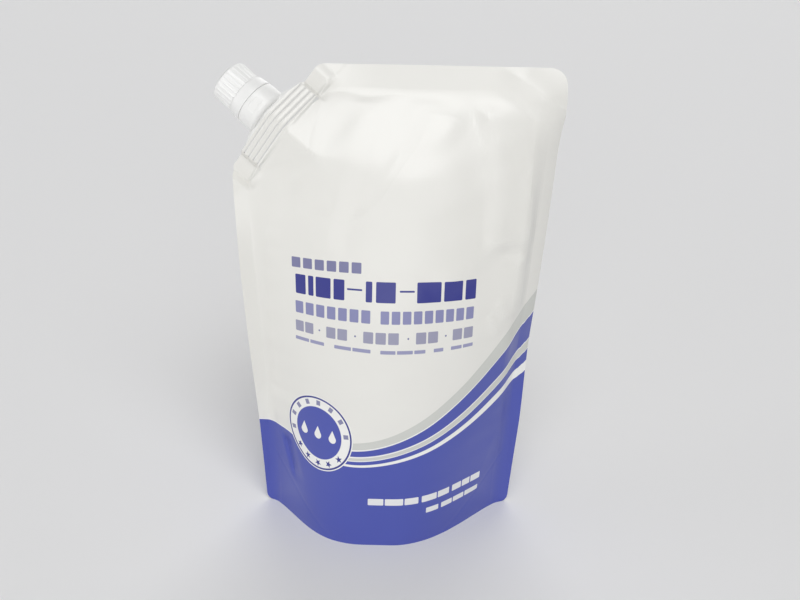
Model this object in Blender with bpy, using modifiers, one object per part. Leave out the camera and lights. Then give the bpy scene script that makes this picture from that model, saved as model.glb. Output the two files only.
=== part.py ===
"""A stand-up refill pouch of printed film with a welded corner spout and a screw cap.

The pouch stands on the floor with its front towards -Y, +X to the right and +Z up. The origin is the
middle of the flat patch that it rests on. The filled bag, the spout, the tamper band, the cap and the
sealing liner inside the cap are separate pieces.
"""

from math import acos, cos, pi, radians, sin, tan

import bmesh
import bpy
from mathutils import Matrix, Vector

# Film bag, measured on the film laid flat
film_width = 0.180
film_height = 0.258
side_seal = 0.007
top_seal = 0.012
seal_thickness = 0.0006
top_corner_radius = 0.009
cut_corner_radius = 0.007
bottom_corner_radius = 0.0045

# Shape that the bag takes when it is filled and stands
base_width = film_width - 0.0384
base_depth = 0.0882
full_width_height = film_height - 0.028
side_curve = 0.27
belly_rise = 1.6
belly_fall = 0.70
base_shape_left = (3.4, 1.4)
base_shape_right = (2.6, 1.7)
body_shape = (2.0, 1.0)
base_shape_height = 0.080
lean_start = 0.110
lean_length = 0.090
lean_angle = radians(17)
bag_columns = 32
corner_sections = 9

# Folded bottom gusset
gusset_start = 0.030
gusset_fold_height = 0.042
gusset_wall = 0.0012
gusset_least_half = 0.0004
gusset_least_rise = 0.0002
gusset_steps = 9
cutter_overlap = 0.004

# Corner that carries the spout: where the inner weld line crosses the film, its slope and its fold
corner_inset = 0.0331
corner_drop = 0.0360
corner_x = corner_inset - film_width / 2
corner_height = film_height - corner_drop
corner_slope = radians(50.8)
corner_fold = radians(14)
corner_fade = 0.045
film_past_weld = 0.0122

# Clearances
clearance = 0.0003
film_wall = 0.0006

# Spout, from the inner weld line outwards
boat_length = 0.0476
boat_thickness = 0.0190
boat_end_thickness = 0.0024
boat_inner_end = -0.0008
boat_top = 0.0130
boat_stations = 8
weld_ribs = 4
rib_depth = 0.0005
rib_flat = (0.3, 0.7)
ridge_rounding = 0.0030
sleeve_tail = 0.0280
sleeve_tail_scale = (0.25, 0.45)
shoulder_height = 0.0025
shoulder_sunk = 0.0004
shoulder_scale = (0.5, 1.0)
neck_radius = 0.0088
neck_top = 0.0407
neck_wall = 0.0015
bore_radius = neck_radius - neck_wall
lip_rounding = 0.0004
bead_height = 0.0014
bead_stand = 0.0012
bead_slope = 0.6
bead_play = 0.0004

# Tamper band, which stays on the neck under the bead
band_height = 0.0065
band_wall = 0.0015
band_flare = 0.0009
band_inner_radius = neck_radius + bead_stand + clearance + 0.0001
band_top_radius = band_inner_radius + band_wall
band_base_radius = band_top_radius + band_flare
band_lip_radius = neck_radius + clearance + 0.0001
band_lip_height = 0.0041
band_lip_bevel = (0.0008, 0.0012)
band_rounding = 0.0008

# Collar under the band, with two slots for the filling line's rails
collar_top_radius = band_top_radius
collar_radius = collar_top_radius + 0.0011
collar_root_radius = collar_radius - 0.0006
collar_top = 0.0242
rail_slot_height = 0.0050
rail_slot_base = 0.0172
rail_slot_depth = 0.0022
rail_cutter_width = 0.010

# Cap and its liner
cap_slit = 0.0003
skirt_inner_radius = neck_radius + 0.0011
skirt_wall = 0.0012
cap_root_radius = skirt_inner_radius + skirt_wall
cap_rib_height = 0.00045
cap_rib_width = 0.0008
cap_rib_sunk = 0.0005
cap_rib_top_slope = 0.0012
cap_rib_waist = (0.3, 0.5)
cap_ribs = 28
cap_skirt_height = 0.0117
cap_rib_end_gap = 0.0006
cap_rib_rise = 0.0002
cap_dome = 0.0036
cap_wall = 0.0013
liner_step = 0.0012
liner_thickness = 0.0009
liner_seat = 0.0004
dome_steps = (4, 3)

round_steps = 48
smooth_angle = radians(35)


def clear_scene():
    for obj in list(bpy.data.objects):
        bpy.data.objects.remove(obj, do_unlink=True)


def new_collection(name):
    collection = bpy.data.collections.new(name)
    bpy.context.scene.collection.children.link(collection)
    return collection


def plastic(name, color, roughness):
    material = bpy.data.materials.new(name)
    material.use_nodes = True
    shader = material.node_tree.nodes["Principled BSDF"]
    shader.inputs["Base Color"].default_value = (*color, 1.0)
    shader.inputs["Roughness"].default_value = roughness
    shader.inputs["Metallic"].default_value = 0.0
    return material


def add_object(name, mesh, collection, material=None, place=None):
    obj = bpy.data.objects.new(name, mesh)
    collection.objects.link(obj)
    if material:
        mesh.materials.append(material)
    if place:
        obj.matrix_world = place
    return obj


def mesh_from(name, bm):
    bmesh.ops.recalc_face_normals(bm, faces=bm.faces)
    mesh = bpy.data.meshes.new(name)
    bm.to_mesh(mesh)
    bm.free()
    return mesh


def loft(name, rings):
    """A closed solid through rings that hold the same number of points, capped at both ends."""
    bm = bmesh.new()
    loops = [[bm.verts.new(point) for point in ring] for ring in rings]
    count = len(loops[0])
    for low, high in zip(loops, loops[1:]):
        for i in range(count):
            j = (i + 1) % count
            bm.faces.new((low[i], low[j], high[j], high[i]))
    half = count // 2
    for loop in (loops[0], loops[-1]):
        for i in range(half - 1):
            bm.faces.new((loop[i], loop[i + 1], loop[count - 2 - i], loop[count - 1 - i]))
    return mesh_from(name, bm)


def turned(name, profile, collection, material, place):
    """Turns a closed outline of (radius, height) points about the local Z axis."""
    bm = bmesh.new()
    corners = [bm.verts.new((radius, 0, height)) for radius, height in profile]
    for start, end in zip(corners, corners[1:] + corners[:1]):
        if start.co.x > 0 or end.co.x > 0:
            bm.edges.new((start, end))
    mesh = bpy.data.meshes.new(name)
    bm.to_mesh(mesh)
    bm.free()
    obj = add_object(name, mesh, collection, material, place)
    screw = obj.modifiers.new("turn", "SCREW")
    screw.steps = round_steps
    screw.render_steps = round_steps
    screw.use_merge_vertices = True
    screw.merge_threshold = 0.00001
    return obj


def cut(obj, cutter, operation="DIFFERENCE"):
    boolean = obj.modifiers.new(cutter.name, "BOOLEAN")
    boolean.operation = operation
    boolean.object = cutter


def hide_as_cutter(obj):
    obj.hide_render = True
    obj.display_type = "WIRE"
    return obj


def smooth_by_angle(obj):
    obj.data.shade_smooth()
    obj.data.set_sharp_from_angle(angle=smooth_angle)


def film_point(x, height, thickness=0.0):
    """The place of a film point (x, height on the flat film), moved forward by a thickness."""
    bend = min(max(height - lean_start, 0.0), lean_length)
    angle = lean_angle * bend / lean_length
    radius = lean_length / lean_angle
    straight = max(height - lean_start - lean_length, 0.0)
    y = radius * (1 - cos(angle)) + straight * sin(lean_angle)
    z = min(height, lean_start) + radius * sin(angle) + straight * cos(lean_angle)
    return Vector((x, y - thickness * cos(angle), z + thickness * sin(angle)))


def corner_frame():
    """Local X runs up along the weld line, local Z out along the spout, local Y to the back."""
    up = Vector((0, sin(lean_angle), cos(lean_angle)))
    front = Vector((0, -cos(lean_angle), sin(lean_angle)))
    across = Vector((1, 0, 0))
    along = across * cos(corner_slope) + up * sin(corner_slope)
    outward = up * cos(corner_slope) - across * sin(corner_slope)
    axis = outward * cos(corner_fold) - front * sin(corner_fold)
    frame = Matrix((along, axis.cross(along), axis)).transposed().to_4x4()
    frame.translation = film_point(corner_x, corner_height)
    return frame


def corner_distances(x, height):
    """How far a film point lies along the inner weld line and outward past it."""
    dx = x - corner_x
    dh = height - corner_height
    along = dx * cos(corner_slope) + dh * sin(corner_slope)
    outward = dh * cos(corner_slope) - dx * sin(corner_slope)
    return along, outward


def bag_point(x, height, thickness, frame):
    """As film_point, with the spout's corner folded back about its inner weld line."""
    along, outward = corner_distances(x, height)
    if outward <= 0 or x > 0:
        return film_point(x, height, thickness)
    return frame @ Vector((along, -thickness, outward))


def rounding(distance, radius):
    """How far a rounded corner draws in the edge, this distance from the corner's end."""
    if distance >= radius:
        return 0.0
    rise = radius - max(distance, 0.0)
    return radius - (radius * radius - rise * rise) ** 0.5


def side_half_width(height):
    """Half the width of the standing bag: the film draws in where the belly takes it up."""
    share = min(height / full_width_height, 1.0)
    grown = (1 - side_curve) * share + side_curve * share * share
    return base_width / 2 + (film_width - base_width) / 2 * grown


def right_edge(height):
    top = rounding(film_height - height, top_corner_radius)
    return side_half_width(height) - top - rounding(height, bottom_corner_radius)


def left_edge(height):
    """The left side up to the slanting corner cut, then the cut up to its rounded top corner."""
    side = -side_half_width(height) + rounding(height, bottom_corner_radius)
    cut_rise = film_height - corner_height - film_past_weld * cos(corner_slope)
    cut_top = corner_x - film_past_weld * sin(corner_slope) + cut_rise / tan(corner_slope)
    below = film_height - height
    slant = cut_top - below / tan(corner_slope)
    radius = cut_corner_radius
    if below < radius * (1 - cos(corner_slope)):
        reach = (radius * radius - (radius - below) ** 2) ** 0.5
        slant = cut_top + radius * tan(corner_slope / 2) - reach
    return max(side, slant)


def belly(height):
    """Half the depth of the bag on its middle line."""
    share = min(height / (film_height - top_seal), 1.0)
    return base_depth / 2 * (1 - share**belly_rise) ** belly_fall


def half_thickness(x, height):
    """Half the depth of the bag at a film point: flat seals round a filled belly."""
    flat = seal_thickness / 2
    blend = min(height / base_shape_height, 1.0)
    blend = blend * blend * (3 - 2 * blend)
    base_shape = base_shape_left if x < 0 else base_shape_right
    rise = base_shape[0] + (body_shape[0] - base_shape[0]) * blend
    fall = base_shape[1] + (body_shape[1] - base_shape[1]) * blend
    inner = right_edge(height) - side_seal * min(height / base_shape_height, 1.0)
    share = min(abs(x) / inner, 1.0)
    outward = corner_distances(x, height)[1]
    inside = min(max(-outward / corner_fade, 0.0), 1.0)
    fade = (1 - (1 - inside) ** 2) ** belly_fall
    return flat + belly(height) * (1 - share**rise) ** fall * fade


def bag_heights():
    """Section heights, closer together at the base, through the spout's corner and at the top."""
    foot = [0.0, 0.0012, bottom_corner_radius]
    low = [share * lean_start for share in (0.09, 0.16, 0.25, 0.36, 0.50, 0.65, 0.82, 1.0)]
    bend = [lean_start + lean_length * i / 5 for i in range(1, 6)]
    top_start = film_height - top_seal
    rise = (top_start - bend[-1]) / corner_sections
    corner = [bend[-1] + rise * i for i in range(1, corner_sections + 1)]
    turns = [radians(degrees) for degrees in (20, 45, 65, 80, 90)]
    rounded = [film_height - top_corner_radius * (1 - sin(turn)) for turn in turns]
    return foot + low + bend + corner + rounded


def bag_mesh(frame):
    last = bag_columns - 1
    rings = []
    for height in bag_heights():
        left = left_edge(height)
        right = right_edge(height)
        spread = [(1 - cos(pi * i / last)) / 2 for i in range(bag_columns)]
        even = [i / last for i in range(bag_columns)]
        across = [left + (right - left) * (0.6 * e + 0.4 * s) for e, s in zip(even, spread)]
        front = [bag_point(x, height, half_thickness(x, height), frame) for x in across]
        back = [bag_point(x, height, -half_thickness(x, height), frame) for x in across]
        rings.append(front + back[::-1])
    return loft("pouch", rings)


def boat_half_thickness(along, grow=0.0):
    """Half the depth of the welded boat: two flat faces that meet in a rounded ridge."""
    run = boat_length / 2
    slope = (boat_thickness - boat_end_thickness) / 2 / run
    edge = (along * along + ridge_rounding * ridge_rounding) ** 0.5 - ridge_rounding
    return boat_thickness / 2 - slope * edge + grow


def boat_ring(height, grow=0.0, scale=(1.0, 1.0)):
    """An outline round the boat, front face first, at a height along the spout."""
    half = boat_length / 2
    stations = [half * k / boat_stations for k in range(-boat_stations, boat_stations + 1)]
    front = []
    back = []
    for station in stations:
        along = (station + grow * station / half) * scale[0]
        depth = boat_half_thickness(station, grow) * scale[1]
        front.append(Vector((along, -depth, height)))
        back.append(Vector((along, depth, height)))
    return front + back[::-1]


def boat_rings():
    """The weld ribs run along the boat, with a groove between each two."""
    pitch = (boat_top - boat_inner_end) / weld_ribs
    rings = []
    for rib in range(weld_ribs):
        base = boat_inner_end + rib * pitch
        rings.append(boat_ring(base, -rib_depth))
        rings.append(boat_ring(base + rib_flat[0] * pitch))
        rings.append(boat_ring(base + rib_flat[1] * pitch))
    rings.append(boat_ring(boat_top, -rib_depth))
    return rings


def make_gusset_cutter(side, collection):
    """The hollow under one end of the folded bottom, from the flat patch out to the side seal."""
    end = base_width / 2 - bottom_corner_radius - side_seal / 2
    rings = []
    for step in range(gusset_steps + 1):
        share = step / gusset_steps
        x = gusset_start + (end - gusset_start) * share
        half = max(half_thickness(x * side, 0.0) - gusset_wall, gusset_least_half)
        peak = gusset_least_rise + gusset_fold_height * share
        shape = [
            Vector((x, -half, -cutter_overlap)),
            Vector((x, -half, 0)),
            Vector((x, 0, peak)),
            Vector((x, half, 0)),
            Vector((x, half, -cutter_overlap)),
            Vector((x, 0, -cutter_overlap)),
        ]
        rings.append([Vector((point.x * side, point.y, point.z)) for point in shape])
    name = "gusset_hollow_right" if side > 0 else "gusset_hollow_left"
    return hide_as_cutter(add_object(name, loft(name, rings), collection))


def make_pouch(parts, cutters, frame):
    film = plastic("printed_film", (0.86, 0.86, 0.85), 0.35)
    pouch = add_object("pouch", bag_mesh(frame), parts, film)
    grow = clearance + film_wall
    tail = boat_ring(-sleeve_tail, 0.0, sleeve_tail_scale)
    sleeve_rings = [tail, boat_ring(boat_inner_end - grow, grow), boat_ring(film_past_weld, grow)]
    sleeve = add_object("spout_sleeve", loft("spout_sleeve", sleeve_rings), cutters, None, frame)
    cut(pouch, hide_as_cutter(sleeve), "UNION")
    pocket_rings = [
        boat_ring(boat_inner_end - clearance, clearance),
        boat_ring(boat_top, clearance),
    ]
    pocket = add_object("spout_pocket", loft("spout_pocket", pocket_rings), cutters, None, frame)
    cut(pouch, hide_as_cutter(pocket))
    for side in (-1, 1):
        cut(pouch, make_gusset_cutter(side, cutters))
    smooth_by_angle(pouch)


def make_spout(parts, cutters, frame):
    material = plastic("spout_plastic", (0.88, 0.88, 0.86), 0.4)
    spout = add_object("spout", loft("spout", boat_rings()), parts, material, frame)
    shoulder_base = boat_ring(boat_top - shoulder_sunk, -rib_depth)
    shoulder_top = boat_ring(boat_top + shoulder_height, 0.0, shoulder_scale)
    shoulder_mesh = loft("shoulder", [shoulder_base, shoulder_top])
    shoulder = add_object("shoulder", shoulder_mesh, cutters, None, frame)
    cut(spout, hide_as_cutter(shoulder), "UNION")
    bead_base = band_base() + band_lip_height + bead_play
    bead_radius = neck_radius + bead_stand
    root = boat_top + shoulder_height / 2
    profile = [
        (0, neck_top),
        (neck_radius - lip_rounding, neck_top),
        (neck_radius, neck_top - lip_rounding),
        (neck_radius, bead_base + bead_height),
        (bead_radius, bead_base + bead_height * bead_slope),
        (bead_radius, bead_base),
        (neck_radius, bead_base),
        (neck_radius, collar_top),
        (collar_top_radius, collar_top),
        (collar_radius, boat_top + shoulder_height),
        (collar_root_radius, root),
        (0, root),
    ]
    neck = turned("neck_and_collar", profile, cutters, None, frame)
    cut(spout, hide_as_cutter(neck), "UNION")
    for side in (-1, 1):
        slot = rail_slot(side, cutters, frame)
        cut(spout, slot)
    length = neck_top - boat_inner_end + cutter_overlap
    bm = bmesh.new()
    bmesh.ops.create_cone(
        bm, cap_ends=True, segments=round_steps, radius1=bore_radius, radius2=bore_radius, depth=length
    )
    bmesh.ops.translate(bm, verts=bm.verts, vec=(0, 0, (neck_top + boat_inner_end) / 2))
    bore = add_object("pouring_bore", mesh_from("pouring_bore", bm), cutters, None, frame)
    cut(spout, hide_as_cutter(bore))
    smooth_by_angle(spout)


def rail_slot(side, collection, frame):
    """A straight slot across the collar, in which a filling line's rail carries the pouch."""
    bm = bmesh.new()
    bmesh.ops.create_cube(bm, size=1.0)
    bmesh.ops.scale(bm, verts=bm.verts, vec=(collar_radius * 2, rail_cutter_width, rail_slot_height))
    middle = side * (collar_radius - rail_slot_depth + rail_cutter_width / 2)
    lift = rail_slot_base + rail_slot_height / 2
    bmesh.ops.translate(bm, verts=bm.verts, vec=(0, middle, lift))
    name = "rail_slot_back" if side > 0 else "rail_slot_front"
    return hide_as_cutter(add_object(name, mesh_from(name, bm), collection, None, frame))


def band_base():
    return collar_top + clearance


def cap_base():
    return band_base() + band_height + cap_slit


def make_tamper_band(parts, frame):
    material = plastic("band_plastic", (0.88, 0.88, 0.86), 0.4)
    base = band_base()
    top = base + band_height
    lip_top = base + band_lip_height
    profile = [
        (band_inner_radius, top),
        (band_top_radius, top),
        (band_base_radius, base + band_rounding),
        (band_base_radius - band_rounding, base),
        (band_lip_radius + band_lip_bevel[0], base),
        (band_lip_radius, base + band_lip_bevel[1]),
        (band_lip_radius, lip_top),
        (band_inner_radius, lip_top),
    ]
    band = turned("tamper_band", profile, parts, material, frame)
    smooth_by_angle(band)


def liner_base():
    return neck_top + clearance


def make_liner(parts, frame):
    material = plastic("liner_foam", (0.80, 0.80, 0.78), 0.8)
    bm = bmesh.new()
    radius = skirt_inner_radius - clearance
    bmesh.ops.create_cone(
        bm, cap_ends=True, segments=round_steps, radius1=radius, radius2=radius, depth=liner_thickness
    )
    bmesh.ops.translate(bm, verts=bm.verts, vec=(0, 0, liner_base() + liner_thickness / 2))
    liner = add_object("cap_liner", mesh_from("cap_liner", bm), parts, material, frame)
    smooth_by_angle(liner)


def dome_points(edge_radius, edge_height, rise, steps):
    """Points of a shallow dome from its middle out to its edge."""
    sphere = (edge_radius**2 + rise**2) / (2 * rise)
    sweep = acos((sphere - rise) / sphere)
    points = []
    for step in range(steps + 1):
        angle = sweep * step / steps
        points.append((sphere * sin(angle), edge_height + rise - sphere * (1 - cos(angle))))
    return points


def make_cap(parts, cutters, frame):
    material = plastic("cap_plastic", (0.90, 0.90, 0.88), 0.35)
    base = cap_base()
    edge = base + cap_skirt_height
    step_height = liner_base() + liner_thickness + clearance
    hollow = skirt_inner_radius - liner_step
    outside = dome_points(cap_root_radius, edge, cap_dome, dome_steps[0])
    hollow_base = step_height + liner_seat
    inside = dome_points(hollow, hollow_base, edge + cap_dome - cap_wall - hollow_base, dome_steps[1])
    profile = outside + [
        (cap_root_radius, base),
        (skirt_inner_radius, base),
        (skirt_inner_radius, step_height),
        (hollow, step_height),
    ]
    profile += inside[::-1]
    cap = turned("cap", profile, parts, material, frame)
    bm = bmesh.new()
    low = base + cap_rib_end_gap
    high = edge + cap_rib_rise
    for rib in range(cap_ribs):
        turn = Matrix.Rotation(2 * pi * rib / cap_ribs, 4, "Z")
        add_rib(bm, turn, low, high)
    ribs = add_object("cap_grip_ribs", mesh_from("cap_grip_ribs", bm), cutters, None, frame)
    cut(cap, hide_as_cutter(ribs), "UNION")
    smooth_by_angle(cap)


def add_rib(bm, turn, low, high):
    """One grip rib: a bar that is sunk in the cap's wall and slopes in at its upper end."""
    sunk = cap_root_radius - cap_rib_sunk
    proud = cap_root_radius + cap_rib_height
    made = bmesh.ops.create_cube(bm, size=1.0)
    for vert in made["verts"]:
        outer = vert.co.x > 0
        upper = vert.co.z > 0
        radius = proud if outer else sunk
        width = cap_rib_width * cap_rib_waist[0 if outer else 1]
        height = high - (cap_rib_top_slope if outer else 0.0) if upper else low
        vert.co = turn @ Vector((radius, width if vert.co.y > 0 else -width, height))


def main():
    clear_scene()
    parts = new_collection("refill_pouch")
    cutters = new_collection("cutters")
    frame = corner_frame()
    make_pouch(parts, cutters, frame)
    make_spout(parts, cutters, frame)
    make_tamper_band(parts, frame)
    make_liner(parts, frame)
    make_cap(parts, cutters, frame)


main()
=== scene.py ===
import math

import bmesh
import bpy
import numpy as np
from mathutils import Matrix, Vector


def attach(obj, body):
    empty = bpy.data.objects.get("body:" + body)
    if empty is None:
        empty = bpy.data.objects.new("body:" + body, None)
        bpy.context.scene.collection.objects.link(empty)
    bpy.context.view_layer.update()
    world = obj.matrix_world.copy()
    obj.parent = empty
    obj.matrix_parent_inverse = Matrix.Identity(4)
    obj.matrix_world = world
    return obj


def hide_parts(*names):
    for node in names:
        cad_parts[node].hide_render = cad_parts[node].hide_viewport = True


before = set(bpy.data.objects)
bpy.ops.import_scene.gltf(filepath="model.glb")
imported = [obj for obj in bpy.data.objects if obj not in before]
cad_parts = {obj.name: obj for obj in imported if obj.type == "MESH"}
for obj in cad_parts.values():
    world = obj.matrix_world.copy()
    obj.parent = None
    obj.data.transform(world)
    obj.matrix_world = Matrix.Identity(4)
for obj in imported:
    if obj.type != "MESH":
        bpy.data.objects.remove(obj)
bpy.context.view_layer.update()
print("frame loaded")


# Materials: a value that runs through the nodes can be written as ordinary sums


def feed(tree, slot, value):
    # a slot takes another node's value, a colour or a plain number
    if isinstance(value, Flow):
        tree.links.new(value.socket, slot)
    elif isinstance(value, tuple):
        slot.default_value = (*value, 1)
    else:
        slot.default_value = value


def addNode(tree, kind, settings, sockets, out=0):
    made = tree.nodes.new("ShaderNode" + kind)
    for key, value in settings.items():
        setattr(made, key, value)
    for key, value in sockets.items():
        feed(tree, made.inputs[key], value)
    return Flow(tree, made.outputs[out])


class Flow:
    def __init__(self, tree, socket):
        self.tree = tree
        self.socket = socket

    def sums(self, operation, *values):
        return addNode(self.tree, "Math", {"operation": operation}, dict(enumerate(values)))

    def __add__(self, other):
        return self.sums("ADD", self, other)

    def __radd__(self, other):
        return self.sums("ADD", other, self)

    def __sub__(self, other):
        return self.sums("SUBTRACT", self, other)

    def __rsub__(self, other):
        return self.sums("SUBTRACT", other, self)

    def __mul__(self, other):
        return self.sums("MULTIPLY", self, other)

    def __rmul__(self, other):
        return self.sums("MULTIPLY", other, self)

    def __truediv__(self, other):
        return self.sums("DIVIDE", self, other)

    def __rtruediv__(self, other):
        return self.sums("DIVIDE", other, self)

    def __pow__(self, other):
        return self.sums("POWER", self, other)

    def __rpow__(self, other):
        return self.sums("POWER", other, self)

    def __mod__(self, other):
        return self.sums("FLOORED_MODULO", self, other)

    def __rmod__(self, other):
        return self.sums("FLOORED_MODULO", other, self)

    def __gt__(self, other):
        return self.sums("GREATER_THAN", self, other)

    def __lt__(self, other):
        return self.sums("LESS_THAN", self, other)

    def __neg__(self):
        return self.sums("MULTIPLY", self, -1)

    def __abs__(self):
        return self.sums("ABSOLUTE", self)

    def least(self, other):
        return self.sums("MINIMUM", self, other)

    def most(self, other):
        return self.sums("MAXIMUM", self, other)

    def root(self):
        return self.sums("SQRT", self)

    def sine(self):
        return self.sums("SINE", self)

    def cosine(self):
        return self.sums("COSINE", self)

    def angleOver(self, other):
        return self.sums("ARCTAN2", self, other)

    def held(self):
        # kept between 0 and 1
        return addNode(self.tree, "Math", {"operation": "ADD", "use_clamp": True}, {0: self, 1: 0})

    def eased(self):
        share = self.held()
        return share * share * (3 - 2 * share)


class Finish:
    def __init__(self, name, color, roughness, **fixed):
        self.material = bpy.data.materials.new(name)
        self.material.use_nodes = True
        self.tree = self.material.node_tree
        self.shader = self.tree.nodes["Principled BSDF"]
        self.give("Base Color", color)
        self.give("Roughness", roughness)
        for key, value in fixed.items():
            self.give(key.replace("_", " "), value)

    def give(self, name, value):
        feed(self.tree, self.shader.inputs[name], value)

    def node(self, kind, settings, sockets, out=0):
        return addNode(self.tree, kind, settings, sockets, out)

    def place(self):
        return self.node("TexCoord", {}, {}, "Object")

    def axes(self, vector):
        split = self.node("SeparateXYZ", {}, {0: vector})
        return [Flow(self.tree, out) for out in split.socket.node.outputs]

    def noise(self, where, scale, detail, roughness):
        sockets = {"Vector": where, "Scale": scale, "Detail": detail, "Roughness": roughness}
        return self.node("TexNoise", {}, sockets)

    def paint(self, under, over, mask):
        # a Mix node set to colours has its two colours at 6 and 7 and its result at 2
        return self.node("Mix", {"data_type": "RGBA"}, {0: mask, 6: under, 7: over}, 2)

    def relief(self, height, distance, strength):
        bumped = self.node("Bump", {}, {"Height": height, "Distance": distance, "Strength": strength})
        self.give("Normal", bumped)


# Camera and studio

camera = {
    "aim": (0.00389, 0.0, 0.13165),
    "distance": 0.650,
    "elevation": math.radians(26),
    "azimuth": math.radians(-1.97),
    "roll": math.radians(1.74),
    "lens": 53.54,
    "sensor": 36,
    "near": 0.05,
    "far": 50,
}

studio = {
    "floorSize": 9.0,
    "floorColor": (0.96, 0.96, 0.96),
    "floorRoughness": 0.85,
    "floorSeen": (0.80, 0.80, 0.805),
    "backColor": (0.70, 0.70, 0.705),
    "worldColor": (1.0, 1.0, 1.0),
    "worldLevel": 0.22,
}

# each lamp is a wide soft sun: where it stands round the object, how high, how wide and how strong
lamps = {
    "frontSoftbox": {"azimuth": -2, "elevation": 14, "spread": 44, "strength": 0.60},
    "overheadSoftbox": {"azimuth": 2, "elevation": 60, "spread": 34, "strength": 1.06},
    "rightSoftbox": {"azimuth": 26, "elevation": 46, "spread": 32, "strength": 0.40},
    "backSoftbox": {"azimuth": 172, "elevation": 24, "spread": 56, "strength": 1.30},
    "leftSoftbox": {"azimuth": -46, "elevation": 16, "spread": 30, "strength": 0.13},
    "leftRim": {"azimuth": -82, "elevation": 3, "spread": 36, "strength": 0.56},
}


def makeCamera(c):
    back = Vector((math.sin(c["azimuth"]) * math.cos(c["elevation"]),
                   -math.cos(c["azimuth"]) * math.cos(c["elevation"]),
                   math.sin(c["elevation"])))
    right = (-back).cross(Vector((0, 0, 1))).normalized()
    up = right.cross(-back)
    x = right * math.cos(c["roll"]) + up * math.sin(c["roll"])
    y = up * math.cos(c["roll"]) - right * math.sin(c["roll"])
    place = Matrix((x, y, back)).transposed().to_4x4()
    place.translation = Vector(c["aim"]) + back * c["distance"]
    data = bpy.data.cameras.new("photoCamera")
    data.lens = c["lens"]
    data.sensor_width = c["sensor"]
    data.clip_start = c["near"]
    data.clip_end = c["far"]
    obj = bpy.data.objects.new("photoCamera", data)
    bpy.context.scene.collection.objects.link(obj)
    obj.matrix_world = place
    bpy.context.scene.camera = obj


def makeLamps(group):
    for name, lamp in group.items():
        data = bpy.data.lights.new(name, "SUN")
        data.energy = lamp["strength"]
        data.angle = math.radians(lamp["spread"])
        obj = bpy.data.objects.new(name, data)
        bpy.context.scene.collection.objects.link(obj)
        turn, rise = math.radians(lamp["azimuth"]), math.radians(lamp["elevation"])
        away = Vector((math.sin(turn) * math.cos(rise), -math.cos(turn) * math.cos(rise), math.sin(rise)))
        obj.rotation_euler = away.to_track_quat("Z", "Y").to_euler()
        obj.location = away * 2  # only its direction counts


def makeWorld(s):
    world = bpy.data.worlds.new("paleStudio")
    bpy.context.scene.world = world
    world.use_nodes = True
    tree = world.node_tree
    soft = tree.nodes["Background"]
    feed(tree, soft.inputs["Color"], s["worldColor"])
    feed(tree, soft.inputs["Strength"], s["worldLevel"])
    seen = addNode(tree, "Background", {}, {"Color": s["backColor"]})
    direct = addNode(tree, "LightPath", {}, {}, "Is Camera Ray")
    through = Flow(tree, direct.socket.node.outputs["Is Transmission Ray"])
    pick = addNode(tree, "MixShader", {}, {0: direct + through, 1: Flow(tree, soft.outputs[0]), 2: seen})
    tree.links.new(pick.socket, tree.nodes["World Output"].inputs[0])


makeCamera(camera)
makeLamps(lamps)
makeWorld(studio)
bpy.context.scene.view_settings.view_transform = "Standard"
print("camera and studio ready")


def clearSelection():
    for other in list(bpy.context.selected_objects):
        other.select_set(False)


def onlySelect(obj):
    clearSelection()
    obj.select_set(True)
    bpy.context.view_layer.objects.active = obj


def joined(objs, name):
    clearSelection()
    for obj in objs:
        obj.select_set(True)
    bpy.context.view_layer.objects.active = objs[0]
    bpy.ops.object.join()
    objs[0].name = name
    objs[0].data.name = name
    return objs[0]


# The filled bag, worked out on the film laid flat: x across and p up the film, in metres

bag = {
    "width": 0.180,
    "height": 0.258,
    "sideSeal": 0.007,
    "topSeal": 0.012,
    "sealHalf": 0.0003,
    "baseWidth": 0.1416,
    "baseDepth": 0.0882,
    "fullWidthAt": 0.230,
    "sideCurve": 0.27,
    "bellyRise": 1.6,
    "bellyFall": 0.70,
    "baseLeft": (3.8, 2.2),
    "baseRight": (2.2, 1.75),
    "bodyShape": (2.0, 1.0),
    "baseFade": 0.080,
    "leanFrom": 0.110,
    "leanOver": 0.090,
    "lean": math.radians(17),
    "cornerX": -0.0569,
    "cornerUp": 0.2220,
    "cornerSlope": math.radians(50.8),
    "cornerFold": math.radians(14),
    "cornerFade": 0.030,
    "foldSoftness": 0.0020,
    "topSoftness": 0.120,
    "sideSoftness": 0.010,
    "pastWeld": 0.0122,
    "cutDip": 0.0015,
    "cutDipFrom": 0.017,
    "cutDipRun": 0.010,
    "cornerAim": 0.02,
    "sideCutRadius": 0.004,
    "cutRadius": 0.007,
    "topRadius": 0.009,
    "bottomRadius": 0.0045,
}

boat = {
    "length": 0.0476,
    "thickness": 0.0190,
    "endThickness": 0.0024,
    "ridgeRounding": 0.0030,
    "filmGap": 0.00025,
    "film": 0.0003,
    "tail": 0.088,
    "tailEnding": 2.2,
    "tailRise": 0.0078,
    "tailRun": 0.034,
    "tailPast": 0.001,
    "tailSpread": 0.018,
    "tailSpreadRun": 0.012,
    "creaseRound": 0.0009,
    "creaseSoft": 0.0140,
    "creaseSoftFrom": 0.017,
    "creaseSoftRun": 0.020,
    "leastBlend": 0.0012,
    "tailBlend": 0.0040,
    "tailBlendRun": 0.012,
    "sleeveBlend": 0.0004,
    "sleeveFrom": -0.0009,
    "sleeveRun": 0.0011,
    "endRamp": 0.0019,
    "grooves": (0.0105, 0.0074, 0.0042, 0.0012),
    "grooveDepth": 0.00042,
    "grooveWidth": 0.00050,
}

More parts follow.
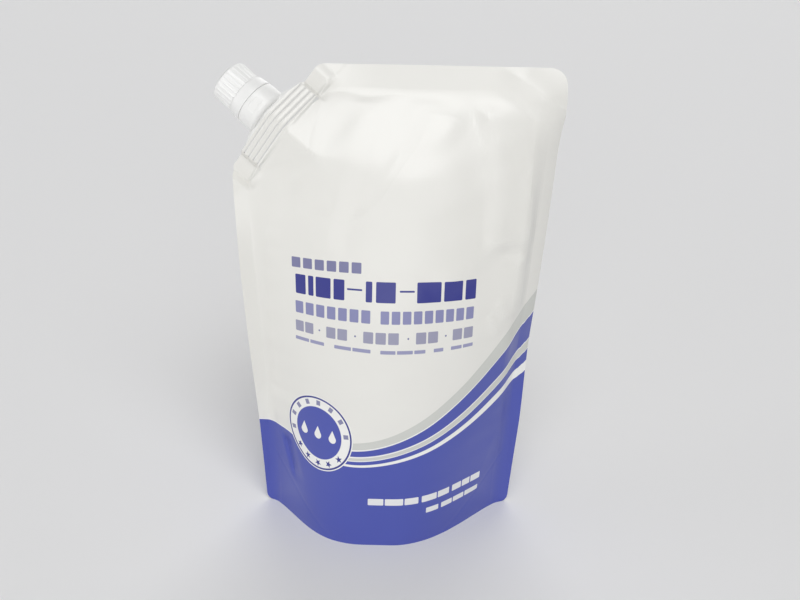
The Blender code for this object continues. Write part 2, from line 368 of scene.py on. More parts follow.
# the flat weld past the two ends of the boat
wings = {
    "length": 0.0105,
    "from": 0.001,
    "ease": 0.003,
    "fade": 0.0034,
    "highFade": 0.016,
    "ridge": 0.0011,
    "ridgeWidth": 0.0009,
    "dip": -0.0009,
    "dipRun": 0.0015,
    "crest": 0.0007,
    "drop": 0.0032,
    "leanRun": 0.006,
    "foldEnd": 0.0400,
    "foldEase": 0.0090,
}

# the welded strips up the two sides, which bend back on the right and forward on the left
sideFin = {
    "bend": 0.0130,
    "leftShare": -0.45,
    "width": 0.0155,
    "curve": 1.5,
    "from": 0.05,
    "fromRun": 0.06,
    "rightTo": 0.256,
    "leftTo": 0.196,
    "toRun": 0.05,
}


def smoothStep(share):
    share = np.clip(share, 0, 1)
    return share * share * (3 - 2 * share)


def leanedPoint(x, p, t):
    # a point of the flat film on the standing bag, t in front of its middle sheet
    bend = np.clip(p - bag["leanFrom"], 0, bag["leanOver"])
    angle = bag["lean"] * bend / bag["leanOver"]
    radius = bag["leanOver"] / bag["lean"]
    straight = np.clip(p - bag["leanFrom"] - bag["leanOver"], 0, None)
    y = radius * (1 - np.cos(angle)) + straight * math.sin(bag["lean"])
    z = np.minimum(p, bag["leanFrom"]) + radius * np.sin(angle) + straight * math.cos(bag["lean"])
    return np.stack([x, y - t * np.cos(angle), z + t * np.sin(angle)], -1)


def spoutAxes():
    lean, slope, fold = bag["lean"], bag["cornerSlope"], bag["cornerFold"]
    up = np.array([0, math.sin(lean), math.cos(lean)])
    front = np.array([0, -math.cos(lean), math.sin(lean)])
    across = np.array([1.0, 0, 0])
    along = across * math.cos(slope) + up * math.sin(slope)
    outward = up * math.cos(slope) - across * math.sin(slope)
    axis = outward * math.cos(fold) - front * math.sin(fold)
    middle = leanedPoint(np.array(bag["cornerX"]), np.array(bag["cornerUp"]), np.array(0.0))
    return middle, along, np.cross(axis, along), axis


spoutMiddle, spoutAlong, spoutBack, spoutAxis = spoutAxes()
spoutPlace = Matrix((spoutAlong, spoutBack, spoutAxis)).transposed().to_4x4()
spoutPlace.translation = Vector(spoutMiddle)


def cornerSpan(x, p):
    # how far a point lies along the corner's weld from its middle, and how far above it
    dx = x - bag["cornerX"]
    dp = p - bag["cornerUp"]
    slope = bag["cornerSlope"]
    return dx * math.cos(slope) + dp * math.sin(slope), dp * math.cos(slope) - dx * math.sin(slope)


def sideHalfWidth(p):
    share = np.minimum(p / bag["fullWidthAt"], 1)
    grown = (1 - bag["sideCurve"]) * share + bag["sideCurve"] * share * share
    return bag["baseWidth"] / 2 + (bag["width"] - bag["baseWidth"]) / 2 * grown


def easedEdge(full, softness):
    # runs out to nothing without a sharp corner
    return full * full / (full + softness)


def bellyDepth(p):
    share = np.clip(p / (bag["height"] - bag["topSeal"]), 0, 1)
    full = easedEdge(1 - share ** bag["bellyRise"], bag["topSoftness"])
    return bag["baseDepth"] / 2 * (1 + bag["topSoftness"]) ** bag["bellyFall"] * full ** bag["bellyFall"]


def bellyHalf(x, p):
    blend = smoothStep(p / bag["baseFade"])
    baseRise = np.where(x < 0, bag["baseLeft"][0], bag["baseRight"][0])
    baseFall = np.where(x < 0, bag["baseLeft"][1], bag["baseRight"][1])
    rise = baseRise + (bag["bodyShape"][0] - baseRise) * blend
    fall = baseFall + (bag["bodyShape"][1] - baseFall) * blend
    inner = sideHalfWidth(p) - bag["sideSeal"] * np.minimum(p / bag["baseFade"], 1)
    share = np.clip(np.abs(x) / inner, 0, 1)
    soft = bag["sideSoftness"] * blend
    # the small value keeps the edge itself from dividing 0 by 0
    full = easedEdge(1 - share ** rise, soft + 1e-6) * (1 + soft)
    return bellyDepth(p) * full ** fall


def boatHalf(s):
    run = boat["length"] / 2
    slope = (boat["thickness"] - boat["endThickness"]) / 2 / run
    edge = np.sqrt(s * s + boat["ridgeRounding"] ** 2) - boat["ridgeRounding"]
    return boat["thickness"] / 2 - slope * np.minimum(edge, run)


def softMax(a, b, width):
    # the larger of two heights, with the step between them rounded
    blend = np.clip(0.5 + 0.5 * (a - b) / width, 0, 1)
    return b + (a - b) * blend + width * blend * (1 - blend) * 0.5


def filmAcross(x, p):
    # how far x lies from the middle along the curved film, so that the print keeps its flat size
    total = np.zeros_like(x)
    samples = 24
    step = 0.00005
    for i in range(samples):
        spot = x * (i + 0.5) / samples
        slope = (bellyHalf(spot + step, p) - bellyHalf(spot - step, p)) / (2 * step)
        total += np.sqrt(1 + slope * slope)
    return x * total / samples


# Folds and dents, in millimetres on the flat film: each ends softly and has two flanks of its own width.
# The flanks are named for a fold that runs down the film, seen from the front. Where one runs across from
# left to right, its right flank is the upper one.

frontFolds = {
    "wedgeHump": {"from": (-26, 244), "to": (-14, 231), "rise": 1.2, "left": 10, "right": 10, "edge": 0.3},
    "cornerFill": {"from": (-50, 202), "to": (-26, 196), "rise": 1.6, "left": 22, "right": 20, "edge": 0.6},
    "topRidgeLeft": {"from": (11, 240), "to": (30, 227), "rise": 0.8, "left": 12, "right": 9, "edge": 0.4},
    "topRidgeRight": {"from": (68, 239), "to": (47, 231), "rise": 1.8, "left": 9, "right": 15, "edge": 0.4},
    "middleStep": {"from": (-18, 202), "to": (30, 201), "rise": 0.9, "left": 14, "right": 13, "edge": 0.5},
    "middleBlob": {"from": (-13, 215), "to": (-3, 210), "rise": 0.5, "left": 8, "right": 9, "edge": 0.5},
    "cornerHollow": {"from": (88, 228), "to": (66, 200), "rise": -1.2, "left": 12, "right": 12},
    "facetEdge": {"from": (79.5, 216), "to": (77, 174), "rise": 3.0, "left": 18, "right": 4.5},
    "facetFoot": {"from": (54, 168), "to": (82, 167), "rise": 2.4, "left": 3.2, "right": 20},
    "facetArm": {"from": (28, 149), "to": (56, 167.5), "rise": 1.5, "left": 4, "right": 22},
    "sideFoldUpper": {"from": (80, 170), "to": (69.5, 157), "rise": 2.2, "left": 10, "right": 4.5},
    "sideFoldLower": {"from": (69, 158), "to": (70, 132), "rise": 2.2, "left": 10, "right": 5},
    "stripeDentA": {"from": (58, 136), "to": (62, 126), "rise": 1.0, "left": 2.6, "right": 3.2},
    "stripeDentB": {"from": (53, 128), "to": (58, 119), "rise": 0.9, "left": 2.6, "right": 2.6},
    "stripeDentC": {"from": (66, 124), "to": (67, 113), "rise": -0.8, "left": 2.4, "right": 3},
    "leftPatch": {"from": (-47, 192), "to": (-42, 160), "rise": 1.1, "left": 9, "right": 16},
    "leftLine": {"from": (-39, 200), "to": (-26, 166), "rise": -0.9, "left": 14, "right": 9},
    "footDent": {"from": (-58.6, 48), "to": (-53.8, 30), "rise": -2.4, "left": 1.3, "right": 2.6,
                 "edge": 0.25},
    "footFold": {"from": (-50, 40), "to": (-46, 18), "rise": 0.5, "left": 5, "right": 6},
    "footRight": {"from": (60, 52), "to": (50, 22), "rise": 0.6, "left": 6, "right": 5},
}

backFolds = {
    "topRidgeLeft": {"from": (-10, 248), "to": (20, 214), "rise": 1.4, "left": 18, "right": 16},
    "topRidgeRight": {"from": (78, 246), "to": (40, 218), "rise": 1.3, "left": 14, "right": 18},
    "topHollow": {"from": (44, 244), "to": (34, 205), "rise": -0.9, "left": 12, "right": 12},
    "sideFold": {"from": (74, 176), "to": (67, 140), "rise": 0.9, "left": 12, "right": 6},
    "sideFoldLeft": {"from": (-80, 178), "to": (-70, 146), "rise": 0.8, "left": 7, "right": 12},
    "middleCrease": {"from": (-20, 150), "to": (26, 132), "rise": 0.5, "left": 12, "right": 9},
    "footDent": {"from": (52, 48), "to": (46, 24), "rise": -0.6, "left": 5, "right": 4},
    "footDentLeft": {"from": (-58, 52), "to": (-50, 26), "rise": -0.6, "left": 4, "right": 5},
}

# folds that both films share where they are welded together
sheetFolds = {
    "cornerRidge": {"from": (62, 254), "to": (95, 232), "rise": 3.2, "left": 6, "right": 8, "edge": 0.3},
}

# how far a fold's flanks reach, how full they are, how round its top is, and how it ends
foldShape = {"flank": 2.2, "fullness": 0.6, "edge": 0.16, "past": 0.35, "ease": 0.5}

topStrip = {
    "from": 0.240,
    "ease": 0.006,
    "middle": 0.010,
    "leftReach": 0.048,
    "rightReach": 0.075,
    "leanMiddle": 0.12,
    "rightShare": 0.6,
    "leanEnd": 0.34,
}

# each ripple: radians a metre across, the same up, and its share of the side's own turn
filmWaves = {
    "swell": 0.00020,
    "swellTo": 0.250,
    "swellToRun": 0.03,
    "sideEase": 0.02,
    "frontTurn": 0.7,
    "backTurn": 2.9,
    "longRipples": ((118, 61, 1.0), (-43, 97, 1.3)),
    "shortRipples": ((203, -151, 2.1), (66, 177, 1.0)),
    "shortShare": 0.6,
    "pucker": 0.00020,
    "puckerPitch": 0.0135,
    "puckerReach": 0.016,
    "puckerPast": -0.004,
    "puckerDrift": 1.7,
    "puckerDriftRate": 71,
    "puckerFrom": 0.02,
    "puckerFromRun": 0.05,
    "puckerTo": 0.246,
    "puckerToRun": 0.04,
}

# the groove that the bottom film's weld leaves in the front and back films
weldArc = {
    "from": 0.028,
    "rise": 0.043,
    "power": 1.35,
    "past": 1.2,
    "groove": 0.00015,
    "width": 0.0013,
}

# over what lengths the folds and waves run out at the welds
easing = {
    "swell": 0.006,
    "topFold": 0.008,
    "cornerFold": 0.008,
    "sealFold": 0.003,
    "arc": 0.003,
}


def foldRelief(x, p, folds):
    k = foldShape
    total = np.zeros_like(x)
    for fold in folds.values():
        ax, ap = np.array(fold["from"]) / 1000
        bx, bp = np.array(fold["to"]) / 1000
        length = math.hypot(bx - ax, bp - ap)
        ux, up = (bx - ax) / length, (bp - ap) / length
        run = ((x - ax) * ux + (p - ap) * up) / length
        off = (x - ax) * up - (p - ap) * ux
        wide = np.where(off < 0, fold["right"], fold["left"]) / 1000
        edge = fold.get("edge", k["edge"]) * min(fold["left"], fold["right"]) / 1000
        away = np.sqrt(off * off + edge * edge) - edge
        sharp = np.clip(1 - away / (k["flank"] * wide), 0, 1)
        ends = smoothStep((run + k["past"]) / k["ease"]) * smoothStep((1 + k["past"] - run) / k["ease"])
        total += fold["rise"] / 1000 * sharp ** 2 * (1 + k["fullness"] * (1 - sharp)) * ends
    return total


def swells(x, p, side):
    k = filmWaves
    turn = k["frontTurn"] if side > 0 else k["backTurn"]

    def ripple(across, up, share):
        return x * across + p * up + share * turn

    longA, longB = (ripple(*values) for values in k["longRipples"])
    shortA, shortB = (ripple(*values) for values in k["shortRipples"])
    wave = np.sin(longA) * np.cos(longB) + k["shortShare"] * np.sin(shortA) * np.sin(shortB)
    wave = wave * np.clip((sideHalfWidth(p) - np.abs(x)) / k["sideEase"], 0, 1)
    # little puckers stand along the side welds
    reach = sideHalfWidth(p) - bag["sideSeal"] - np.abs(x)
    near = np.exp(-np.abs(reach) / k["puckerReach"]) * (reach > k["puckerPast"])
    drift = k["puckerDrift"] * np.sin(p * k["puckerDriftRate"] + turn)
    pucker = np.sin(p / k["puckerPitch"] * 2 * math.pi + drift + np.sign(x)) * near
    pucker = pucker * smoothStep((p - k["puckerFrom"]) / k["puckerFromRun"])
    pucker = pucker * smoothStep((k["puckerTo"] - p) / k["puckerToRun"])
    wave = wave * smoothStep((k["swellTo"] - p) / k["swellToRun"])
    return k["swell"] * wave + k["pucker"] * pucker


def arcRelief(x, p):
    k = weldArc
    run = np.clip((np.abs(x) - k["from"]) / (bag["baseWidth"] / 2 - k["from"]), 0, k["past"])
    away = k["rise"] * run ** k["power"] - p
    return k["groove"] * np.exp(-(away / k["width"]) ** 2)


def filmRelief(x, p, h, full, filled, side):
    folds = frontFolds if side > 0 else backFolds
    fade = smoothStep((bag["height"] - bag["topSeal"] - p) / easing["topFold"])
    fade = fade * smoothStep(full / easing["sealFold"]) * smoothStep(-h / easing["cornerFold"])
    relief = foldRelief(x, p, folds) * fade
    relief += swells(x, p, side) * smoothStep(filled / easing["swell"])
    relief -= arcRelief(x, p) * smoothStep(filled / easing["arc"])
    return relief


def boatSleeve(s, h):
    # the film over the boat, pressed a little into its grooves
    half = boat["length"] / 2
    over = smoothStep((half + boat["endRamp"] - np.abs(s)) / boat["endRamp"])
    sleeve = np.where(over > 0, (boatHalf(s) + boat["filmGap"] + boat["film"]) * over, 0)
    for groove in boat["grooves"]:
        sleeve -= boat["grooveDepth"] * np.exp(-((h - groove) / boat["grooveWidth"]) ** 2) * over
    return sleeve


def boatTent(s, h):
    # below the boat the film runs down from it as a tent, whose middle crease softens on the way
    down = np.maximum(-h, 0)
    reach = boat["length"] / 2 + boat["tailPast"]
    reach = reach + boat["tailSpread"] * (1 - np.exp(-down / boat["tailSpreadRun"]))
    soft = smoothStep((down - boat["creaseSoftFrom"]) / boat["creaseSoftRun"])
    crease = boat["creaseRound"] + boat["creaseSoft"] * soft
    side = np.clip(1 - (np.sqrt(s * s + crease ** 2) - crease) / reach, 0, 1)
    ridge = boat["thickness"] / 2 + boat["filmGap"] + boat["film"]
    ridge = ridge + boat["tailRise"] * (1 - np.exp(-down / boat["tailRun"]))
    left = 1 - np.clip(-h / boat["tail"], 0, 1)
    return ridge * side * smoothStep(left * boat["tailEnding"])


def bagHalf(x, p, side):
    # half the bag's thickness: filled below the corner's weld, a flat weld round the boat above it
    s, h = cornerSpan(x, p)
    full = bellyHalf(x, p)
    inside = np.clip(-h / bag["cornerFade"], 0, 1)
    filled = full * (1 - (1 - inside) ** 2) ** bag["bellyFall"]
    half = bag["sealHalf"] + np.maximum(filled + filmRelief(x, p, h, full, filled, side), 0)
    blend = boat["leastBlend"] + boat["tailBlend"] * smoothStep(-h / boat["tailBlendRun"])
    inner = softMax(half, boatTent(s, h) + bag["sealHalf"], blend)
    outer = softMax(np.full_like(h, bag["sealHalf"]), boatSleeve(s, h), boat["sleeveBlend"])
    share = smoothStep((h - boat["sleeveFrom"]) / boat["sleeveRun"])
    weld = wings["ridge"] * np.exp(-(h / wings["ridgeWidth"]) ** 2) * wingReach(s)
    return inner * (1 - share) + outer * share + weld


def wingReach(s):
    away = np.abs(s) - boat["length"] / 2
    return smoothStep(away / wings["from"]) * smoothStep((wings["length"] - away) / wings["ease"])


def wingLean(s, h):
    # past the ends of the boat the flat weld leans: down at the low end, up to a ridge at the high end
    k = wings
    away = np.abs(s) - boat["length"] / 2
    rise = np.clip(away / k["length"], 0, 1)
    fall = smoothStep((away - k["length"]) / k["fade"])
    slow = smoothStep((away - k["length"]) / k["highFade"])
    high = k["dip"] * smoothStep(away / k["dipRun"]) * (1 - rise) + k["crest"] * rise * (1 - slow)
    low = -k["drop"] * rise * (1 - fall)
    return np.where(s > 0, high, low) * smoothStep((h + k["leanRun"]) / k["leanRun"]) * (away > 0)


def sealLean(x, p):
    # how far the welded top strip leans back, more at its ends than in its middle
    k = topStrip
    away = (x - k["middle"]) / np.where(x < k["middle"], k["leftReach"], k["rightReach"])
    ends = k["leanEnd"] * np.where(x < k["middle"], 1, k["rightShare"]) - k["leanMiddle"]
    lean = k["leanMiddle"] + ends * 0.5 * (1 - np.cos(np.clip(away, -1, 1) * math.pi))
    run = np.clip(p - k["from"], 0, None)
    return lean * run * run / (run + k["ease"])


def sideBend(x, p):
    k = sideFin
    strip = np.clip((np.abs(x) - sideHalfWidth(p) + k["width"]) / k["width"], 0, 1)
    reach = smoothStep((p - k["from"]) / k["fromRun"])
    reach = reach * smoothStep((np.where(x > 0, k["rightTo"], k["leftTo"]) - p) / k["toRun"])
    return k["bend"] * strip ** k["curve"] * reach * np.where(x > 0, 1.0, k["leftShare"])


def bagPoint(x, p, half, side):
    s, h = cornerSpan(x, p)
    t = half * side + wingLean(s, h) + foldRelief(x, p, sheetFolds)
    flat = leanedPoint(x, p, t)
    turned = spoutMiddle + s[..., None] * spoutAlong - t[..., None] * spoutBack + h[..., None] * spoutAxis
    share = smoothStep((h + bag["foldSoftness"]) / (2 * bag["foldSoftness"]))
    share = (np.where(x > 0, 0, share) * smoothStep((wings["foldEnd"] - s) / wings["foldEase"]))[..., None]
    point = flat * (1 - share) + turned * share
    lean = sealLean(x, p) * (1 - share[..., 0])
    point[..., 1] += sideBend(x, p) + lean * math.cos(bag["lean"])
    point[..., 2] -= lean * math.sin(bag["lean"])
    return point


bagGrid = {
    "cutSpacing": 0.00058,
    "topSpacing": 0.00175,
    "nearRows": 38,
    "nearSpacing": 0.00040,
    "nextRows": 16,
    "nextSpacing": 0.00080,
    "lowRows": 132,
    "opening": 0.25,
    "sideSteps": 260,
    "cutSteps": 80,
    "cornerSteps": 10,
    "cornerClear": 0.002,
    "gussetRows": 26,
    "gussetEvening": 0.5,
    "pocketDepth": 0.0128,
    "mouthClear": 0.0003,
    "mouthAbove": 0.01,
    "offPrint": (0.2, 0.0),
}


def roundedCorner(before, corner, after, radius):
    a, c, b = (np.array(v, float) for v in (before, corner, after))
    toA = (a - c) / np.linalg.norm(a - c)
    toB = (b - c) / np.linalg.norm(b - c)
    half = math.acos(np.clip(toA @ toB, -1, 1)) / 2
    reach = radius / math.tan(half)
    bisector = (toA + toB) / np.linalg.norm(toA + toB)
    centre = c + bisector * radius / math.sin(half)
    start = c + toA * reach - centre
    finish = c + toB * reach - centre
    sweep = math.pi - 2 * half
    points = []
    for f in np.linspace(0, 1, bagGrid["cornerSteps"] + 1):
        mix = (math.sin((1 - f) * sweep) * start + math.sin(f * sweep) * finish) / math.sin(sweep)
        points.append(centre + mix)
    return np.array(points)


def resampled(points, distances):
    steps = np.linalg.norm(np.diff(points, axis=0), axis=1)
    run = np.concatenate([[0], np.cumsum(steps)])
    return np.stack([np.interp(distances, run, points[:, i]) for i in (0, 1)], -1)


def runLength(points):
    return np.linalg.norm(np.diff(points, axis=0), axis=1).sum()


def onLeftSide(height):
    return np.array([-sideHalfWidth(height), height])


def bagOutline():
    # four sides of the flat film, each running from one grid corner to the next
    height, slope, aim = bag["height"], bag["cornerSlope"], bag["cornerAim"]
    along = np.array([math.cos(slope), math.sin(slope)])
    outward = np.array([-math.sin(slope), math.cos(slope)])
    middle = np.array([bag["cornerX"], bag["cornerUp"]])
    cutOn = middle + bag["pastWeld"] * outward
    cutHigh = cutOn - bag["cutDip"] * outward
    cutTop = cutHigh + (height - cutHigh[1]) / math.sin(slope) * along
    heights = np.linspace(0, height, bagGrid["sideSteps"] + 1)
    cutAt = cutOn[0] + (heights - cutOn[1]) / math.tan(slope)
    cutFoot = onLeftSide(heights[np.argmax(cutAt > -sideHalfWidth(heights))])
    mirror = np.array([-1, 1])
    bottomLeft = onLeftSide(0.0)
    topRight = np.array([bag["width"] / 2, height])
    cornerA = roundedCorner(bottomLeft * mirror, bottomLeft, onLeftSide(aim), bag["bottomRadius"])
    cornerB = roundedCorner(onLeftSide(cutFoot[1] - aim), cutFoot, cutTop, bag["sideCutRadius"])
    cornerC = roundedCorner(cutFoot, cutTop, topRight, bag["cutRadius"])
    cornerD = roundedCorner(cutTop, topRight, topRight - (0.0, aim), bag["topRadius"])
    cornerE = cornerA[::-1] * mirror
    # the cut edge steps in a little past the middle of the boat
    run = np.linspace((cornerB[-1] - middle) @ along, (cornerC[0] - middle) @ along, bagGrid["cutSteps"])
    run = run[1:-1, None]
    past = bag["pastWeld"] - bag["cutDip"] * smoothStep((run - bag["cutDipFrom"]) / bag["cutDipRun"])
    cut = middle + run * along + past * outward
    # the grid's own corners lie halfway round the bag's rounded ones
    half, clear = bagGrid["cornerSteps"] // 2, bagGrid["cornerClear"]
    low = cornerA[-1][1] + clear
    leftUp = [onLeftSide(h) for h in heights if low < h < cornerB[0][1] - clear]
    rightUp = [onLeftSide(h) * mirror for h in heights if low < h < cornerD[-1][1] - clear]
    left = np.vstack([cornerA[half:], leftUp, cornerB[:half + 1]])
    top = np.vstack([cornerB[half:], cut, cornerC, cornerD[:half + 1]])
    right = np.vstack([cornerE[:half + 1][::-1], rightUp, cornerD[half:][::-1]])
    bottom = np.vstack([cornerA[:half + 1][::-1], cornerE[half:][::-1]])
    return left, top, right, bottom, runLength(np.vstack([cornerB[half:], cut, cornerC]))


def gridSides():
    left, top, right, bottom, cutRun = bagOutline()
    g = bagGrid
    cutCount = round(cutRun / g["cutSpacing"])
    topCount = round((runLength(top) - cutRun) / g["topSpacing"])
    topAt = np.concatenate([np.linspace(0, cutRun, cutCount, endpoint=False),
                            np.linspace(cutRun, runLength(top), topCount + 1)])
    share = np.linspace(0, 1, len(topAt))
    bottomAt = share * runLength(bottom)
    start = g["nearRows"] * g["nearSpacing"]
    down = np.concatenate([np.arange(g["nearRows"]) * g["nearSpacing"],
                           start + np.arange(g["nextRows"]) * g["nextSpacing"]])
    start += g["nextRows"] * g["nextSpacing"]
    sides = []
    for side in (left, right):
        length = runLength(side)
        # the rows open out smoothly below the dense ones
        f = np.linspace(0, 1, g["lowRows"] + 1)
        rest = start + (length - start) * (f + g["opening"] * f * (f - 1) * (f - 0.5))
        sides.append(resampled(side, length - np.concatenate([down, rest])[::-1]))
    return sides[0], resampled(top, topAt), sides[1], resampled(bottom, bottomAt)


def filmGrid():
    # a patch stretched between the four sides: rows follow the corner cut, where the spout's weld is
    left, top, right, bottom = gridSides()
    u = np.linspace(0, 1, len(top))[None, :, None]
    low = np.linalg.norm(left - left[0], axis=1) / np.linalg.norm(left[-1] - left[0])
    v = low[:, None, None]
    sheet = (1 - v) * bottom[None] + v * top[None] + (1 - u) * left[:, None] + u * right[:, None]
    sheet -= (1 - u) * (1 - v) * bottom[0] + u * (1 - v) * bottom[-1]
    sheet -= (1 - u) * v * top[0] + u * v * top[-1]
    return sheet


def panel(name, rows, columns):
    # a flat grid whose corners are then moved on to the film
    clearSelection()
    bpy.ops.mesh.primitive_grid_add(x_subdivisions=columns - 1, y_subdivisions=rows - 1, size=2)
    obj = bpy.context.object
    obj.name = name
    co = np.empty(len(obj.data.vertices) * 3)
    obj.data.vertices.foreach_get("co", co)
    co = co.reshape(-1, 3)
    column = np.rint((co[:, 0] + 1) / 2 * (columns - 1)).astype(int)
    row = np.rint((co[:, 1] + 1) / 2 * (rows - 1)).astype(int)
    return obj, row, column


def setPoints(obj, points):
    obj.data.vertices.foreach_set("co", np.ascontiguousarray(points, dtype=np.float32).ravel())
    obj.data.update()


def setFilmUV(obj, across, up):
    layer = obj.data.uv_layers.active or obj.data.uv_layers.new(name="film")
    layer.name = "film"
    corner = np.empty(len(obj.data.loops), int)
    obj.data.loops.foreach_get("vertex_index", corner)
    pairs = np.stack([across, up], -1)[corner]
    layer.data.foreach_set("uv", pairs.astype(np.float32).ravel())


# the bottom film, folded up between the other two
gusset = {
    "from": 0.030,
    "to": 0.0628,
    "fold": 0.042,
    "foldCurve": 1.1,
    "foldRounding": 0.05,
    "foldLift": 0.0012,
    "closeAt": 0.0668,
    "closeRun": 0.004,
    "seam": 0.0011,
    "seamFrom": 0.0022,
    "seamWidth": 0.0013,
    "seamFullAt": 0.03,
}


def gussetRise(x, share):
    # share runs from the front edge, 0, to the back edge, 1
    k = gusset
    run = np.clip((np.abs(x) - k["from"]) / (k["to"] - k["from"]), 0, 1)
    peak = k["fold"] * run ** k["foldCurve"]
    closing = smoothStep((k["closeAt"] - np.abs(x)) / k["closeRun"])
    ridge = 1 - np.sqrt((2 * share - 1) ** 2 + k["foldRounding"] ** 2) + k["foldLift"]
    ridge = np.clip(ridge / (1 - k["foldRounding"] + k["foldLift"]), 0, 1)
    return peak * closing * ridge


def seamRise(gap, depth):
    # a low ridge along the bottom film's weld, fading where the bag gets thin
    k = gusset
    full = k["seam"] * min(depth / k["seamFullAt"], 1)
    return full * math.exp(-((gap - k["seamFrom"]) / k["seamWidth"]) ** 2)


def makeBag():
    # two panels on one grid, joined and then closed all round
    sheet = filmGrid()
    rows, columns = sheet.shape[:2]
    x, p = sheet[..., 0], sheet[..., 1]
    across = filmAcross(x, p)
    built, place, order = [], {}, {}
    for index, (name, side) in enumerate((("frontPanel", 1), ("backPanel", -1))):
        obj, row, column = panel(name, rows, columns)
        points = bagPoint(x, p, bagHalf(x, p, side), side)
        points[0, :, 2] = np.maximum(points[0, :, 2], 0)
        setPoints(obj, points[row, column])
        setFilmUV(obj, across[row, column], p[row, column])
        if side < 0:
            obj.data.flip_normals()
        for finish in filmFinishes.values():
            obj.data.materials.append(finish)
        obj.data.polygons.foreach_set("material_index", [index] * len(obj.data.polygons))
        place[side] = points
        order[side] = orderOf(obj, points) + index * len(obj.data.vertices)
        built.append(obj)
    bagObj = joined(built, "pouchFilm")
    closeBag(bagObj, sheet, place, order)
    return bagObj


def orderOf(obj, points):
    # which of the mesh's own points stands at each place of the grid
    rows, columns = points.shape[:2]
    co = np.empty(len(obj.data.vertices) * 3, np.float32)
    obj.data.vertices.foreach_get("co", co)
    lookup = {tuple(v): i for i, v in enumerate(co.reshape(-1, 3).tolist())}
    flat = np.ascontiguousarray(points, dtype=np.float32).reshape(-1, 3).tolist()
    return np.array([lookup[tuple(v)] for v in flat]).reshape(rows, columns)


def closeBag(obj, sheet, place, order):
    # closes the rim, the pocket for the spout and the folded bottom
    x, p = sheet[..., 0], sheet[..., 1]
    s, h = cornerSpan(x[-1], p[-1])
    bm = bmesh.new()
    bm.from_mesh(obj.data)
    uv = bm.loops.layers.uv.active
    spots = list(bm.verts)
    front, back = ([[spots[k] for k in line] for line in order[side].tolist()] for side in (1, -1))
    kinds = list(filmFinishes)

    def face(corners, kind):
        made = bm.faces.new(corners)
        made.material_index = kinds.index(kind)
        made.smooth = True
        for loop in made.loops:
            loop[uv].uv = bagGrid["offPrint"]

    overBoat = np.abs(s) < boat["length"] / 2 + bagGrid["mouthClear"]
    mouth = np.flatnonzero(overBoat & (x[-1] < 0) & (h > bagGrid["mouthAbove"])).tolist()
    for corners in rimStrips(front, back, mouth):
        face(corners, "inside")
    lips = {side: pocketLip(bm, s, h, mouth, side) for side in (1, -1)}
    for corners in pocketWalls(front[-1], back[-1], mouth, lips):
        face(corners, "inside")
    lines = []
    for i, (start, end) in enumerate(zip(front[0], back[0])):
        atSide = i in (0, len(s) - 1)
        between = [] if atSide else bottomLine(bm, x[0][i], place[1][0][i], place[-1][0][i])
        lines.append([start] + between + [end])
    for corners in bottomFaces(lines):
        face(corners, "bottom")
    bm.normal_update()
    loose = [e for e in bm.edges if len(e.link_faces) != 2]
    print("bag faces", len(bm.faces), "open edges", len(loose))
    bm.to_mesh(obj.data)
    bm.free()


def rimStrips(front, back, mouth):
    # up the sides and along the top, apart from the spout's mouth
    rim = [(front[j][0], front[j + 1][0], back[j + 1][0], back[j][0]) for j in range(len(front) - 1)]
    rim += [(front[j + 1][-1], front[j][-1], back[j][-1], back[j + 1][-1]) for j in range(len(front) - 1)]
    rim += [(front[-1][i], front[-1][i + 1], back[-1][i + 1], back[-1][i])
            for i in range(len(front[0]) - 1) if not mouth[0] <= i < mouth[-1]]
    return rim


def pocketLip(bm, s, h, mouth, side):
    # pairs of points that stand just off the boat, at the film's edge and at the pocket's floor
    lip = []
    for i in mouth:
        away = (boatHalf(np.array(s[i])) + boat["filmGap"]) * side
        pair = [spoutMiddle + s[i] * spoutAlong - away * spoutBack + height * spoutAxis
                for height in (h[i], h[i] - bagGrid["pocketDepth"])]
        lip.append([bm.verts.new(spot) for spot in pair])
    return lip


def pocketWalls(front, back, mouth, lips):
    # the film's cut edge and the wall below it on each side, then the floor and the two ends
    walls = []
    for edge, lip, turn in ((front, lips[1], 1), (back, lips[-1], -1)):
        for k, i in enumerate(mouth[:-1]):
            walls.append([edge[i], edge[i + 1], lip[k + 1][0], lip[k][0]][::turn])
            walls.append([lip[k][0], lip[k + 1][0], lip[k + 1][1], lip[k][1]][::turn])
    near, far = lips[1], lips[-1]
    for k in range(len(mouth) - 1):
        walls.append([near[k][1], near[k + 1][1], far[k + 1][1], far[k][1]])
    for k, turn in ((0, 1), (-1, -1)):
        i = mouth[k]
        walls.append([front[i], near[k][0], far[k][0], back[i]][::turn])
        walls.append([near[k][0], near[k][1], far[k][1], far[k][0]][::turn])
    return walls


def bottomLine(bm, x, a, b):
    # the points across the bottom film at one place, between the front film's and the back film's
    count = bagGrid["gussetRows"]
    even = np.linspace(0, 1, count + 1)
    shares = even + bagGrid["gussetEvening"] * (0.5 - 0.5 * np.cos(even * math.pi) - even)
    depth = b[1] - a[1]
    made = []
    for share in shares[1:-1]:
        spot = a + (b - a) * share
        lift = gussetRise(np.array(x), share) + seamRise(min(share, 1 - share) * depth, depth)
        made.append(bm.verts.new((spot[0], spot[1], spot[2] + lift)))
    return made


def bottomFaces(lines):
    count = bagGrid["gussetRows"]
    middle = count // 2
    faces = []
    for a, b in zip(lines, lines[1:]):
        if len(a) == len(b):
            faces += [[a[k], a[k + 1], b[k + 1], b[k]] for k in range(count)]
            continue
        # at the two ends the points fan out from the two that are left
        short, full, turn = (a, b, 1) if len(a) < len(b) else (b, a, -1)
        for k in range(count):
            faces.append([short[0] if k < middle else short[1], full[k + 1], full[k]][::turn])
        faces.append([short[0], short[1], full[middle]][::turn])
    return faces


# Printed film. Places on the print are in millimetres on the flat film

